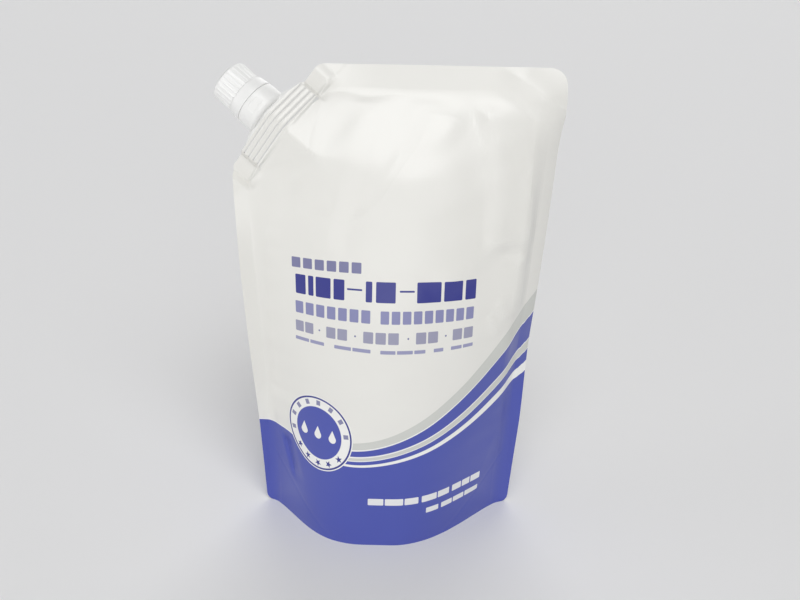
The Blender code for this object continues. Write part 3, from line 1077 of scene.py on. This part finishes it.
printing = {
    "white": (0.795, 0.788, 0.752),
    "brightWhite": (0.86, 0.86, 0.84),
    "blue": (0.060, 0.082, 0.405),
    "ink": (0.030, 0.036, 0.250),
    "softInk": (0.145, 0.155, 0.400),
    "grey": (0.610, 0.620, 0.590),
    "edgeSoftness": 0.10,
}

# each stripe edge: height at the left end and how much it climbs to the right
stripes = {
    "from": -25.0,
    "run": 115.0,
    "curve": (0.17, 1.23, -0.40),
    "edges": ((62.2, 73.2), (57.6, 63.8), (54.6, 50.2), (51.8, 46.3), (49.9, 41.5), (48.6, 37.0)),
    "border": 0.75,
    "innerBorder": 0.45,
    "leftBorder": 0.7,
    "start": -43.0,
    "backStart": -115.0,
    "leftHeight": 54.6,
    "leftMiddle": -72.0,
    "leftFall": 0.012,
    "leftLift": 0.035,
    "backDrop": 5.6,
    "backReach": 42.0,
    "taperFrom": -66.0,
    "taperRun": 84.0,
}

badge = {
    "centre": (-43.0, 62.9),
    "rings": (22.0, 21.4, 20.4, 15.3),
    "starRing": 18.1,
    "starSize": 2.2,
    "starNotch": 0.42,
    "starAngles": (-139, -115, -90, -66, -40),
    "markRing": 18.1,
    "markAngles": (-172, 160, 136, 112, 88, 62, 36, 8),
    "markSize": (1.25, 1.45),
    "markRounding": 0.35,
    "markFade": 0.75,
    "drops": (-9.6, 0.0, 9.6),
    "dropBelow": 1.1,
    "dropSize": (2.3, 5.2),
}

# rows of plain blocks, the last two of them on the blue
blockRows = {
    "lead": {"base": 153.6, "top": 158.9, "ink": "ink", "fade": 0.78, "round": 0.5,
             "blocks": [(-56.4 + 6.75 * i, -51.2 + 6.75 * i) for i in range(6)]},
    "headline": {"base": 140.2, "top": 150.2, "ink": "ink", "fade": 1.0, "round": 0.6,
                 "blocks": [(-54.5, -48.4), (-46.9, -43.8), (-42.5, -34.0), (-32.4, -26.4), (-15.0, -11.6),
                            (-9.6, 0.7), (11.9, 24.9), (26.5, 36.9), (38.6, 44.8)]},
    "dashes": {"base": 145.4, "top": 146.3, "ink": "ink", "fade": 1.0, "round": 0.3,
               "blocks": [(-25.0, -16.9), (2.8, 10.6)]},
    "second": {"base": 130.0, "top": 136.3, "ink": "softInk", "fade": 0.85, "round": 0.5,
               "blocks": [(-55.0 + 6.3 * i, -50.2 + 6.3 * i) for i in range(7)]
               + [(-7.0 + 5.83 * i, -2.5 + 5.83 * i) for i in range(9)]},
    "third": {"base": 120.2, "top": 125.9, "ink": "ink", "fade": 0.62, "round": 0.5,
              "blocks": [(-55.4, -50.3), (-49.4, -44.3), (-36.6, -31.3), (-30.2, -24.8), (-16.0, -10.7),
                         (-9.5, -4.0), (-2.8, 2.8), (11.9, 17.4), (18.4, 23.9), (32.3, 37.8),
                         (38.9, 44.4)]},
    "dots": {"base": 122.6, "top": 123.6, "ink": "ink", "fade": 0.8, "round": 0.5,
             "blocks": [(-41.2, -40.2), (-20.9, -19.9), (7.3, 8.3), (27.8, 28.8)]},
    "small": {"base": 115.4, "top": 117.2, "ink": "softInk", "fade": 0.75, "round": 0.3,
              "blocks": [(-55.8, -47.2), (-46.4, -38.0), (-32.0, -22.6), (-21.8, -12.0), (-6.8, 1.2),
                         (2.0, 10.4), (11.2, 17.2), (21.8, 27.2), (31.6, 38.0), (38.8, 44.9)]},
    "upper": {"base": 26.3, "top": 30.4, "ink": "brightWhite", "fade": 0.92, "round": 0.5,
              "blocks": [(-12.0, -3.4), (-2.6, 7.6), (8.4, 16.4), (18.4, 28.0), (28.8, 36.8), (39.0, 46.0),
                         (46.8, 53.0), (53.8, 61.6)]},
    "lower": {"base": 18.6, "top": 21.9, "ink": "brightWhite", "fade": 0.92, "round": 0.5,
              "blocks": [(21.4, 29.6), (31.6, 39.6), (40.4, 49.0), (49.8, 60.8)]},
}

# the laminate's surface: each noise has its scale, detail and roughness, and shares are parts of the depth
laminate = {
    "coat": 0.45,
    "coatRoughness": 0.27,
    "index": 1.46,
    "roughness": 0.27,
    "uneven": 0.12,
    "weldRoughness": 0.05,
    "broad": (22, 3.0, 0.55),
    "fine": (620, 2.0, 0.5),
    "fineShare": 0.035,
    "barShare": 0.03,
    "barPitch": 1.15,
    "sideWeldAt": 82.8,
    "topWeldAt": 247.0,
    "weldSoftness": 0.8,
    "depth": 0.00022,
    "strength": 0.55,
}

edgeFilm = {
    "coat": 0.25,
    "coatRoughness": 0.18,
    "index": 1.46,
    "roughness": 0.30,
    "uneven": 0.12,
    "broad": (30, 3.0, 0.55),
    "fine": (620, 2.0, 0.5),
    "fineShare": 0.05,
    "depth": 0.00020,
    "strength": 0.5,
}

moulding = {
    "index": 1.49,
    "cloud": (70, 3.0, 0.6),
    "grain": (1500, 2.0, 0.5),
    "grainShare": 0.3,
    "tint": 3,
    "tintFrom": 0.45,
    "tintGain": 2,
    "smoother": 0.05,
    "uneven": 0.10,
    "depth": 0.00006,
    "strength": 0.5,
}


def folded(parts, join):
    # many masks or distances made one, two at a time
    total = parts[0]
    for part in parts[1:]:
        total = join(total, part)
    return total


def block(across, up, x0, x1, low, top, rounding):
    dx = abs(across - (x0 + x1) / 2) - ((x1 - x0) / 2 - rounding)
    dp = abs(up - (low + top) / 2) - ((top - low) / 2 - rounding)
    return dx.most(dp) - rounding


def inked(distance, soft=printing["edgeSoftness"]):
    return (0.5 - distance / soft).held()


def rowMask(across, up, row):
    # one shared height test and one test of the width for each block
    half = (row["top"] - row["base"]) / 2
    level = abs(up - (row["top"] + row["base"]) / 2) - half
    sides = [abs(across - (x0 + x1) / 2) - (x1 - x0) / 2 for x0, x1 in row["blocks"]]
    nearest = folded(sides, Flow.least)
    corner = ((level + row["round"]).most(0) ** 2 + (nearest + row["round"]).most(0) ** 2).root()
    return inked(corner - row["round"])


def turnedAbout(across, up, angle):
    c, s = math.cos(math.radians(angle)), math.sin(math.radians(angle))
    return across * c + up * s, up * c - across * s


def starMask(dx, dy, angle, k):
    out, side = turnedAbout(dx, dy, angle)
    out = out - k["starRing"]
    fold = 2 * math.pi / 5
    turn = side.angleOver(out) + fold / 2
    wedge = abs(turn % fold - fold / 2)
    radius = (out ** 2 + side ** 2).root()
    tip = k["starSize"]
    inner = k["starNotch"] * tip
    notch = (inner * math.cos(fold / 2), inner * math.sin(fold / 2))
    length = math.hypot(notch[0] - tip, notch[1])
    normal = (notch[1] / length, (tip - notch[0]) / length)
    return inked(radius * wedge.cosine() * normal[0] + radius * wedge.sine() * normal[1] - tip * normal[0])


def markMask(dx, dy, angle, k):
    out, across = turnedAbout(dx, dy, angle)
    half, tall = k["markSize"]
    shape = block(across, out, -half, half, k["markRing"] - tall, k["markRing"] + tall, k["markRounding"])
    return inked(shape) * k["markFade"]


def dropMask(dx, dy, size):
    radius, tall = size
    lean = math.asin(radius / tall)
    bowl = ((dx ** 2) + (dy ** 2)).root() - radius
    tip = abs(dx) * math.cos(lean) + (dy - tall) * math.sin(lean)
    return inked(bowl.least(tip.most(radius * math.sin(lean) - dy)))


def stripePaint(f, side, p, front):
    # side runs to the right on the front film, and on the back film the other way
    k = stripes
    bright, blue, grey = printing["brightWhite"], printing["blue"], printing["grey"]
    u = (side - k["from"]) / k["run"]
    climb = u * (k["curve"][0] + u * (k["curve"][1] + u * k["curve"][2]))
    edges = [low + rise * climb for low, rise in k["edges"]]
    past = side - k["leftMiddle"]
    leftEdge = k["leftHeight"] - past.least(0) * k["leftLift"]
    if front:
        leftEdge = leftEdge - past.most(0) ** 2 * k["leftFall"]
    else:
        # no badge here for the stripes to start from: they fan out of the edge of the blue
        leftEdge = leftEdge - (past / k["backReach"]).eased() * k["backDrop"]
        grown = ((side - k["taperFrom"]) / k["taperRun"]).eased()
        edges = [leftEdge + (edge - leftEdge) * grown for edge in edges]
    started = side > k["start" if front else "backStart"]
    border, inner = k["border"], k["innerBorder"]
    layers = [(edges[0], grey), (edges[1] + border, bright), (edges[1], blue), (edges[2], bright),
              (edges[2] - border, grey), (edges[3] + inner, bright), (edges[3], blue), (edges[4], bright),
              (edges[5], blue)]
    color = printing["white"]
    for edge, shade in layers:
        color = f.paint(color, shade, inked(p - edge) * started)
    left = 1 - started
    color = f.paint(color, bright, inked(p - leftEdge - k["leftBorder"]) * left)
    return f.paint(color, blue, inked(p - leftEdge) * left)


def badgePaint(f, color, x, p, k):
    bright, blue, ink = printing["brightWhite"], printing["blue"], printing["ink"]
    dx, dy = x - k["centre"][0], p - k["centre"][1]
    away = (dx ** 2 + dy ** 2).root()
    for radius, shade in zip(k["rings"], (bright, ink, bright, blue)):
        color = f.paint(color, shade, inked(away - radius))
    marks = [starMask(dx, dy, angle, k) for angle in k["starAngles"]]
    marks += [markMask(dx, dy, angle, k) for angle in k["markAngles"]]
    color = f.paint(color, ink, folded(marks, Flow.most))
    drops = [dropMask(dx - offset, dy + k["dropBelow"], k["dropSize"]) for offset in k["drops"]]
    return f.paint(color, bright, folded(drops, Flow.most))


def printedFilm(name, front):
    k = laminate
    f = Finish(name, printing["white"], k["roughness"], Coat_Weight=k["coat"],
               Coat_Roughness=k["coatRoughness"], IOR=k["index"])
    x, p = (value * 1000 for value in f.axes(f.node("UVMap", {"uv_map": "film"}, {}))[:2])
    color = stripePaint(f, x if front else -x, p, front)
    if front:
        color = badgePaint(f, color, x, p, badge)
        for row in blockRows.values():
            color = f.paint(color, printing[row["ink"]], rowMask(x, p, row) * row["fade"])
    # laminate: a broad uneven sheen, a fine orange peel and the ribbed bars of the side and top welds
    where = f.place()
    broad = f.noise(where, *k["broad"])
    fine = f.noise(where, *k["fine"])
    side = inked(k["sideWeldAt"] - abs(x), k["weldSoftness"])
    weld = side.most(inked(k["topWeldAt"] - p, k["weldSoftness"]))
    bars = (p * (2 * math.pi / k["barPitch"])).sine() * weld
    f.give("Base Color", color)
    f.give("Roughness", k["roughness"] + broad * k["uneven"] + weld * k["weldRoughness"])
    f.relief(broad + fine * k["fineShare"] + bars * k["barShare"], k["depth"], k["strength"])
    return f.material


def plainFilm(name, color):
    k = edgeFilm
    f = Finish(name, color, k["roughness"], Coat_Weight=k["coat"], Coat_Roughness=k["coatRoughness"],
               IOR=k["index"])
    where = f.place()
    broad = f.noise(where, *k["broad"])
    fine = f.noise(where, *k["fine"])
    f.give("Roughness", k["roughness"] + broad * k["uneven"])
    f.relief(broad + fine * k["fineShare"], k["depth"], k["strength"])
    return f.material


def mouldedPlastic(name, color, roughness, speck=0.02):
    k = moulding
    f = Finish(name, color, roughness, IOR=k["index"])
    where = f.place()
    cloud = f.noise(where, *k["cloud"])
    grain = f.noise(where, *k["grain"])
    darker = tuple(c * (1 - k["tint"] * speck) for c in color)
    f.give("Base Color", f.paint(color, darker, (cloud - k["tintFrom"]).held() * k["tintGain"]))
    f.give("Roughness", roughness - k["smoother"] + cloud * k["uneven"])
    f.relief(grain * k["grainShare"] + cloud, k["depth"], k["strength"])
    return f.material


filmFinishes = {
    "front": printedFilm("printedFrontFilm", True),
    "back": printedFilm("printedBackFilm", False),
    "inside": plainFilm("whiteFilmEdge", (0.82, 0.82, 0.81)),
    "bottom": plainFilm("blueBottomFilm", printing["blue"]),
}
plastics = {
    "spout": mouldedPlastic("spoutPlastic", (0.90, 0.90, 0.885), 0.36),
    "band": mouldedPlastic("bandPlastic", (0.90, 0.90, 0.89), 0.34),
    "cap": mouldedPlastic("capPlastic", (0.92, 0.92, 0.91), 0.32),
    "liner": mouldedPlastic("linerFoam", (0.78, 0.78, 0.76), 0.75, 0.03),
}
print("finishes ready")

pouchFilm = makeBag()
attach(pouchFilm, "pack")
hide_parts("pouch")
print("pouch film ready")


# Hard pieces, made about the Z axis with the spout's inner weld line at height 0, then set in the corner


# two places nearer to each other than this are the same one
samePlace = 0.00001


def editing(obj, everything=False):
    onlySelect(obj)
    bpy.ops.object.mode_set(mode="EDIT")
    bpy.ops.mesh.select_all(action="SELECT" if everything else "DESELECT")


def doneEditing():
    bpy.ops.object.mode_set(mode="OBJECT")


def resized(x, y, z, height=0):
    bpy.ops.transform.resize(value=(x, y, z), center_override=(0, 0, height))


def divided(spot, direction):
    bpy.ops.mesh.select_all(action="SELECT")
    bpy.ops.mesh.bisect(plane_co=spot, plane_no=direction)


def slab(spot, size, turn=0):
    clearSelection()
    bpy.ops.mesh.primitive_cube_add(size=1, location=spot, rotation=(0, 0, turn), scale=size)
    bpy.ops.object.transform_apply(location=True, rotation=True, scale=True)
    return bpy.context.object


def openRing(count, radius, spot, fill="NOTHING"):
    clearSelection()
    bpy.ops.mesh.primitive_circle_add(vertices=count, radius=radius, fill_type=fill, location=spot)
    bpy.ops.object.transform_apply(location=True)
    return bpy.context.object


def pickPoints(obj, wanted):
    mesh = bmesh.from_edit_mesh(obj.data)
    for part in (mesh.faces, mesh.edges, mesh.verts):
        for item in part:
            item.select = False
    for vert in mesh.verts:
        vert.select = wanted(vert.co)
    mesh.select_flush(True)
    bmesh.update_edit_mesh(obj.data)


def turnedRing(profile, segments, closed, name):
    # a circle drawn out along the outline, as on a lathe, and a closed outline meets itself
    radius, height = profile[0]
    obj = openRing(segments, radius, (0, 0, height), "NOTHING" if closed else "NGON")
    obj.name = name
    editing(obj, True)
    path = profile[1:] + (profile[:1] if closed else [])
    for nextRadius, nextHeight in path:
        move = {"value": (0, 0, nextHeight - height)}
        if closed:
            bpy.ops.mesh.extrude_edges_move(TRANSFORM_OT_translate=move)
        else:
            bpy.ops.mesh.extrude_region_move(TRANSFORM_OT_translate=move)
        if nextRadius != radius:
            resized(nextRadius / radius, nextRadius / radius, 1, nextHeight)
        radius, height = nextRadius, nextHeight
    bpy.ops.mesh.select_all(action="SELECT")
    if closed:
        bpy.ops.mesh.remove_doubles(threshold=samePlace / 10)
    bpy.ops.mesh.normals_make_consistent(inside=False)
    doneEditing()
    return obj


def arcPoints(centre, radius, start, end, steps):
    turn = [math.radians(start + (end - start) * i / steps) for i in range(steps + 1)]
    return [(centre[0] + radius * math.cos(t), centre[1] + radius * math.sin(t)) for t in turn]


def modified(obj, kind, **settings):
    onlySelect(obj)
    made = obj.modifiers.new(kind.lower(), kind)
    for key, value in settings.items():
        setattr(made, key, value)
    bpy.ops.object.modifier_apply(modifier=made.name)
    return obj


def merged(obj, other, operation):
    modified(obj, "BOOLEAN", object=other, operation=operation, solver="EXACT")
    bpy.data.objects.remove(other, do_unlink=True)
    return obj


def softened(obj, width, segments):
    return modified(obj, "BEVEL", width=width, segments=segments, limit_method="ANGLE")


def finished(obj, name, finish, body, node, angle=32):
    obj.name = name
    obj.data.name = name
    obj.data.transform(spoutPlace)
    obj.data.materials.clear()
    obj.data.materials.append(finish)
    onlySelect(obj)
    bpy.ops.object.shade_smooth_by_angle(angle=math.radians(angle))
    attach(obj, body)
    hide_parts(node)
    print(obj.name, "ready,", len(obj.data.polygons), "faces")


spout = {
    "boatBase": -0.0008,
    "boatTop": 0.0130,
    "boatStations": 20,
    "ridgeStation": 0.0006,
    "ribs": 4,
    "ribLevels": (0.0, 0.18, 0.30, 0.70, 0.82),
    "ribDepth": 0.0005,
    "ribEase": 0.35,
    "ribHalf": 0.0065,
    "endTop": 0.0115,
    "endTopFrom": 0.0075,
    "endRunFrom": 0.013,
    "shoulder": ((0.0111, 0.975), (0.0124, 0.86), (0.0136, 0.74), (0.0148, 0.63), (0.0157, 0.55)),
    "shoulderStart": 0.0006,
    "shoulderStations": 16,
    "shoulderWidth": 0.97,
    "collarFoot": ((0.0112, 0.0138), (0.0120, 0.0142), (0.0126, 0.0148), (0.0130, 0.0157)),
    "collarRadius": 0.0130,
    "collarTopRadius": 0.0125,
    "collarTop": 0.0244,
    "collarEdge": (0.0002, 0.0004),
    "slotBase": 0.0172,
    "slotHeight": 0.0050,
    "slotDepth": 0.0009,
    "slotRounding": 0.0011,
    "slotCutter": (0.030, 0.010),
    "neckRadius": 0.0088,
    "neckTop": 0.0407,
    "neckFoot": 0.0003,
    "lipRounding": 0.0004,
    "lipSteps": 4,
    "boreRadius": 0.0073,
    "boreLip": 0.0003,
    "boreFrom": -0.004,
    "borePast": 0.002,
    "boreStep": 0.0006,
    "beadRadius": 0.0100,
    "beadBase": 0.0290,
    "beadEdge": 0.0006,
    "beadHeight": 0.0014,
    "segments": 128,
}

thread = {
    "pitch": 0.0032,
    "turns": 2,
    "start": 0.0322,
    "stand": 0.00062,
    "root": 0.0010,
    "crest": 0.00045,
    "sunk": 0.0003,
    "endShare": 6,
    "steps": 96,
}


def threadRidge(name, radius, inward, start):
    # a small wedge swept up round the axis, whose two ends are drawn down into the wall
    t = thread
    side = -1 if inward else 1
    low, high = radius - side * t["sunk"], radius + side * t["stand"]
    obj = openRing(4, t["crest"], (radius, 0, start))
    obj.name = name
    corners = [(low, -t["root"] / 2), (high, -t["crest"] / 2), (high, t["crest"] / 2), (low, t["root"] / 2)]
    for vert, (x, z) in zip(obj.data.vertices, corners):
        vert.co = (x, 0, start + z)
    modified(obj, "SCREW", screw_offset=t["pitch"], iterations=t["turns"], steps=t["steps"],
             render_steps=t["steps"], use_merge_vertices=False)
    rise = t["pitch"] * t["turns"]
    for vert in obj.data.vertices:
        turn = (vert.co.z - start + t["root"] / 2) / rise
        keep = max(min(min(turn, 1 - turn) * t["turns"] * t["endShare"], 1), 0)
        far = math.hypot(vert.co.x, vert.co.y)
        vert.co.x *= (low + (far - low) * keep) / far
        vert.co.y *= (low + (far - low) * keep) / far
    editing(obj, True)
    bpy.ops.mesh.remove_doubles(threshold=samePlace / 10)
    bpy.ops.mesh.select_all(action="DESELECT")
    bpy.ops.mesh.select_mode(type="EDGE")
    bpy.ops.mesh.select_non_manifold()
    bpy.ops.mesh.edge_face_add()
    bpy.ops.mesh.select_mode(type="VERT")
    bpy.ops.mesh.select_all(action="SELECT")
    bpy.ops.mesh.normals_make_consistent(inside=False)
    doneEditing()
    return obj


def divideAt(half, count):
    # cuts across a block in edit mode at even stations along it, and gives all their places
    stations = [half * (2 * i / count - 1) for i in range(count + 1)]
    for s in stations[1:-1]:
        divided((s, 0, 0), (1, 0, 0))
    return stations


def slimToBoat(obj, stations):
    for s in stations:
        pickPoints(obj, lambda co: abs(co.x - s) < samePlace)
        resized(1, float(boatHalf(np.array(s))) / (boat["thickness"] / 2), 1)


def makeBoat(d):
    tall = d["boatTop"] - d["boatBase"]
    obj = slab((0, 0, (d["boatTop"] + d["boatBase"]) / 2), (boat["length"], boat["thickness"], tall))
    editing(obj)
    half = boat["length"] / 2
    stations = divideAt(half, d["boatStations"])
    for s in (-d["ridgeStation"], d["ridgeStation"]):
        divided((s, 0, 0), (1, 0, 0))
        stations.append(s)
    pitch = tall / d["ribs"]
    grooves = [d["boatBase"] + i * pitch for i in range(d["ribs"] + 1)]
    levels = [low + share * pitch for low in grooves[:-1] for share in d["ribLevels"]]
    for level in levels[1:]:
        divided((0, 0, level), (0, 0, 1))
    slimToBoat(obj, stations)
    # the top comes down towards the two ends
    low = d["endTopFrom"]
    for s in stations:
        drop = d["boatTop"] - d["endTop"]
        drop *= max(0, (abs(s) - d["endRunFrom"]) / (half - d["endRunFrom"]))
        pickPoints(obj, lambda co: abs(co.x - s) < samePlace and co.z > low)
        resized(1, 1, 1 - drop / (d["boatTop"] - low), low)
    # each groove is drawn in, and the levels beside it a little
    for groove in grooves:
        for away, share in ((0.0, 1.0), (d["ribLevels"][1] * pitch, d["ribEase"])):
            pickPoints(obj, lambda co: abs(abs(co.z - groove) - away) < 2 * samePlace)
            shrink = d["ribDepth"] * share
            resized(1 - shrink / half, 1 - shrink / d["ribHalf"], 1)
    doneEditing()
    return obj


def makeShoulder(d):
    # starts inside the boat and is drawn up and in, so that the boat runs into the round collar
    base, share = d["shoulder"][0]
    tall = d["shoulderStart"]
    size = (boat["length"] * share, boat["thickness"] * d["shoulderWidth"], tall)
    obj = slab((0, 0, base - tall / 2), size)
    editing(obj)
    slimToBoat(obj, divideAt(boat["length"] / 2 * share, d["shoulderStations"]))
    for height, length in d["shoulder"][1:]:
        top = max(vert.co.z for vert in bmesh.from_edit_mesh(obj.data).verts)
        pickPoints(obj, lambda co: co.z > top - samePlace)
        bpy.ops.mesh.extrude_region_move(TRANSFORM_OT_translate={"value": (0, 0, height - base)})
        resized(length / share, 1, 1)
        base, share = height, length
    doneEditing()
    return obj


def makeNeck(d):
    r, top, soft = d["neckRadius"], d["neckTop"], d["lipRounding"]
    edgeIn, edgeDown = d["collarEdge"]
    profile = list(d["collarFoot"])
    profile += [(d["collarTopRadius"] + edgeIn, d["collarTop"] - edgeDown)]
    profile += [(d["collarTopRadius"] - edgeIn, d["collarTop"])]
    profile += [(r + d["neckFoot"], d["collarTop"]), (r, d["collarTop"] + d["neckFoot"])]
    profile += [(r, d["beadBase"]), (d["beadRadius"], d["beadBase"])]
    profile += [(d["beadRadius"], d["beadBase"] + d["beadEdge"]), (r, d["beadBase"] + d["beadHeight"])]
    profile += arcPoints((r - soft, top - soft), soft, 0, 90, d["lipSteps"])
    return turnedRing(profile, d["segments"], False, "neck")


def makeBore(d):
    r, top, lip, step = d["boreRadius"], d["neckTop"], d["boreLip"], d["boreStep"]
    profile = [(r + step, d["boreFrom"]), (r + step, -step), (r, 0.0), (r, top - lip), (r + lip, top)]
    profile += [(r + lip, top + d["borePast"])]
    return turnedRing(profile, d["segments"], False, "bore")


def makeSlot(d, side):
    wide, deep = d["slotCutter"]
    middle = side * (d["collarRadius"] - d["slotDepth"] + deep / 2)
    cutter = slab((0, middle, d["slotBase"] + d["slotHeight"] / 2), (wide, deep, d["slotHeight"]))
    return softened(cutter, d["slotRounding"], 4)


def makeSpout(d):
    body = makeBoat(d)
    merged(body, makeShoulder(d), "UNION")
    merged(body, makeNeck(d), "UNION")
    for side in (-1, 1):
        merged(body, makeSlot(d, side), "DIFFERENCE")
    merged(body, makeBore(d), "DIFFERENCE")
    merged(body, threadRidge("neckThread", d["neckRadius"], False, thread["start"]), "UNION")
    finished(body, "weldedSpout", plastics["spout"], "pack", "spout")


band = {
    "base": 0.0245,
    "top": 0.0310,
    "lipTop": 0.0286,
    "topRadius": 0.0119,
    "baseRadius": 0.0128,
    "flareFrom": 0.0034,
    "flareOut": 0.0004,
    "innerRadius": 0.0104,
    "lipRadius": 0.0092,
    "lipSlope": (0.0008, 0.0012),
    "rounding": 0.00045,
    "roundingFrom": 8,
    "roundingSteps": 6,
    "outerEdge": 0.0003,
    "innerEdge": 0.0002,
    "bridges": 8,
    "bridgeSize": (0.0008, 0.0009, 0.00042),
    "bridgeIn": 0.0007,
    "bridgeUp": 0.00003,
    "bridgeRounding": 0.00008,
    "segments": 128,
}


def makeBand(d):
    low, high, soft = d["base"], d["top"], d["rounding"]
    inner, outer, lip, lipTop = d["innerRadius"], d["topRadius"], d["lipRadius"], d["lipTop"]
    inEdge, outEdge = d["innerEdge"], d["outerEdge"]
    profile = [(inner, high - inEdge), (inner + inEdge, high), (outer - outEdge, high)]
    profile += [(outer, high - outEdge), (outer + d["flareOut"], low + d["flareFrom"])]
    centre = (d["baseRadius"] - soft, low + soft)
    profile += arcPoints(centre, soft, d["roundingFrom"], -90, d["roundingSteps"])
    profile += [(lip + d["lipSlope"][0], low), (lip, low + d["lipSlope"][1])]
    profile += [(lip, lipTop - inEdge), (lip + inEdge, lipTop), (inner, lipTop)]
    parts = [turnedRing(profile, d["segments"], True, "tamperBand")]
    # the short bridges of a new pack end a hair below the cap here, so that it turns freely
    radius = outer - d["bridgeIn"]
    for i in range(d["bridges"]):
        turn = 2 * math.pi * (i + 0.5) / d["bridges"]
        spot = (radius * math.cos(turn), radius * math.sin(turn), high + d["bridgeUp"])
        parts.append(softened(slab(spot, d["bridgeSize"], turn), d["bridgeRounding"], 2))
    whole = joined(parts, "tamperBand")
    finished(whole, "tamperBand", plastics["band"], "pack", "tamper_band")


cap = {
    "base": 0.0313,
    "edge": 0.0430,
    "rootRadius": 0.0111,
    "dome": 0.0036,
    "domeEdge": (0.0003, 0.0004),
    "edgeStep": (0.00006, 0.00020),
    "softEdge": 0.0002,
    "ribs": 28,
    "ribHeight": 0.00031,
    "ribFrom": 0.0320,
    "ribTo": 0.0424,
    "ribFoot": 0.00035,
    "ribHead": 0.0006,
    "perRib": 8,
    "ribColumns": 2,
    "innerRadius": 0.0099,
    "stepHeight": 0.0422,
    "hollowRadius": 0.0087,
    "hollowEdge": 0.0004,
    "wall": 0.0013,
    "hollowSteps": 6,
    "domeSteps": 12,
}


def domeRun(radius, base, rise, steps):
    ball = (radius * radius + rise * rise) / (2 * rise)
    sweep = math.acos((ball - rise) / ball)
    turns = [sweep * (1 - i / steps) for i in range(steps)]
    return [(ball * math.sin(t), base + rise - ball * (1 - math.cos(t))) for t in turns]


def makeCap(d):
    root, inner, step, soft = d["rootRadius"], d["innerRadius"], d["stepHeight"], d["softEdge"]
    hollowRise = d["edge"] + d["dome"] - d["wall"] - step - d["hollowEdge"]
    domeIn, domeUp = d["domeEdge"]
    stepIn, stepUp = d["edgeStep"]
    profile = domeRun(d["hollowRadius"], step + d["hollowEdge"], hollowRise, d["hollowSteps"])[::-1]
    profile += [(d["hollowRadius"], step), (inner, step)]
    profile += [(inner, d["base"] + soft), (inner + soft, d["base"])]
    profile += [(root - soft, d["base"]), (root, d["base"] + soft)]
    profile += [(root, d["ribFrom"] - d["ribFoot"]), (root, d["ribFrom"])]
    profile += [(root, d["ribTo"]), (root, d["ribTo"] + d["ribHead"])]
    profile += [(root - stepIn, d["edge"] + stepUp)]
    profile += domeRun(root - domeIn, d["edge"] + domeUp, d["dome"] - domeUp, d["domeSteps"])
    obj = turnedRing(profile, d["ribs"] * d["perRib"], False, "screwCap")
    # of the columns of points in each pitch, the first ones are pushed out into a grip rib
    pitch = 2 * math.pi / d["ribs"]

    def onRib(co):
        if not d["ribFrom"] - samePlace < co.z < d["ribTo"] + samePlace:
            return False
        if math.hypot(co.x, co.y) < root - 10 * samePlace:
            return False
        turn = (math.atan2(co.y, co.x) + 10 * samePlace) % pitch
        return turn < (d["ribColumns"] - 0.5) * pitch / d["perRib"]

    editing(obj)
    pickPoints(obj, onRib)
    grow = 1 + d["ribHeight"] / root
    resized(grow, grow, 1)
    doneEditing()
    merged(obj, threadRidge("capThread", inner, True, thread["start"] + thread["pitch"] / 2), "UNION")
    finished(obj, "screwCap", plastics["cap"], "cap", "cap", 28)


liner = {
    "base": 0.0410,
    "thick": 0.0009,
    "radius": 0.0096,
    "softEdge": 0.00015,
    "printRadius": 0.0081,
    "printHalf": 0.0007,
    "printTopHalf": 0.00042,
    "printRise": 0.00012,
    "middle": 0.002,
    "segments": 96,
}


def makeLiner(d):
    # the mouth's rim has pressed a shallow ring into its underside
    low, high, r, soft = d["base"], d["base"] + d["thick"], d["radius"], d["softEdge"]
    ring, wide, narrow = d["printRadius"], d["printHalf"], d["printTopHalf"]
    profile = [(d["middle"], low), (ring - wide, low)]
    profile += [(ring - narrow, low + d["printRise"]), (ring + narrow, low + d["printRise"])]
    profile += [(ring + wide, low), (r - soft, low), (r, low + soft)]
    profile += [(r, high - soft), (r - soft, high), (d["middle"], high)]
    obj = turnedRing(profile, d["segments"], False, "capLiner")
    finished(obj, "capLiner", plastics["liner"], "liner", "cap_liner")


makeSpout(spout)
makeBand(band)
makeCap(cap)
makeLiner(liner)


# Floor


def makeFloor(s):
    clearSelection()
    bpy.ops.mesh.primitive_plane_add(size=s["floorSize"], location=(0, 0, 0))
    floor = bpy.context.object
    floor.name = "studioFloor"
    f = Finish("floorPaper", s["floorColor"], s["floorRoughness"])
    direct = f.node("LightPath", {}, {}, "Is Camera Ray")
    mirrored = Flow(f.tree, direct.socket.node.outputs["Is Glossy Ray"])
    f.give("Base Color", f.paint(s["floorColor"], s["floorSeen"], (direct + mirrored).held()))
    floor.data.materials.append(f.material)


makeFloor(studio)
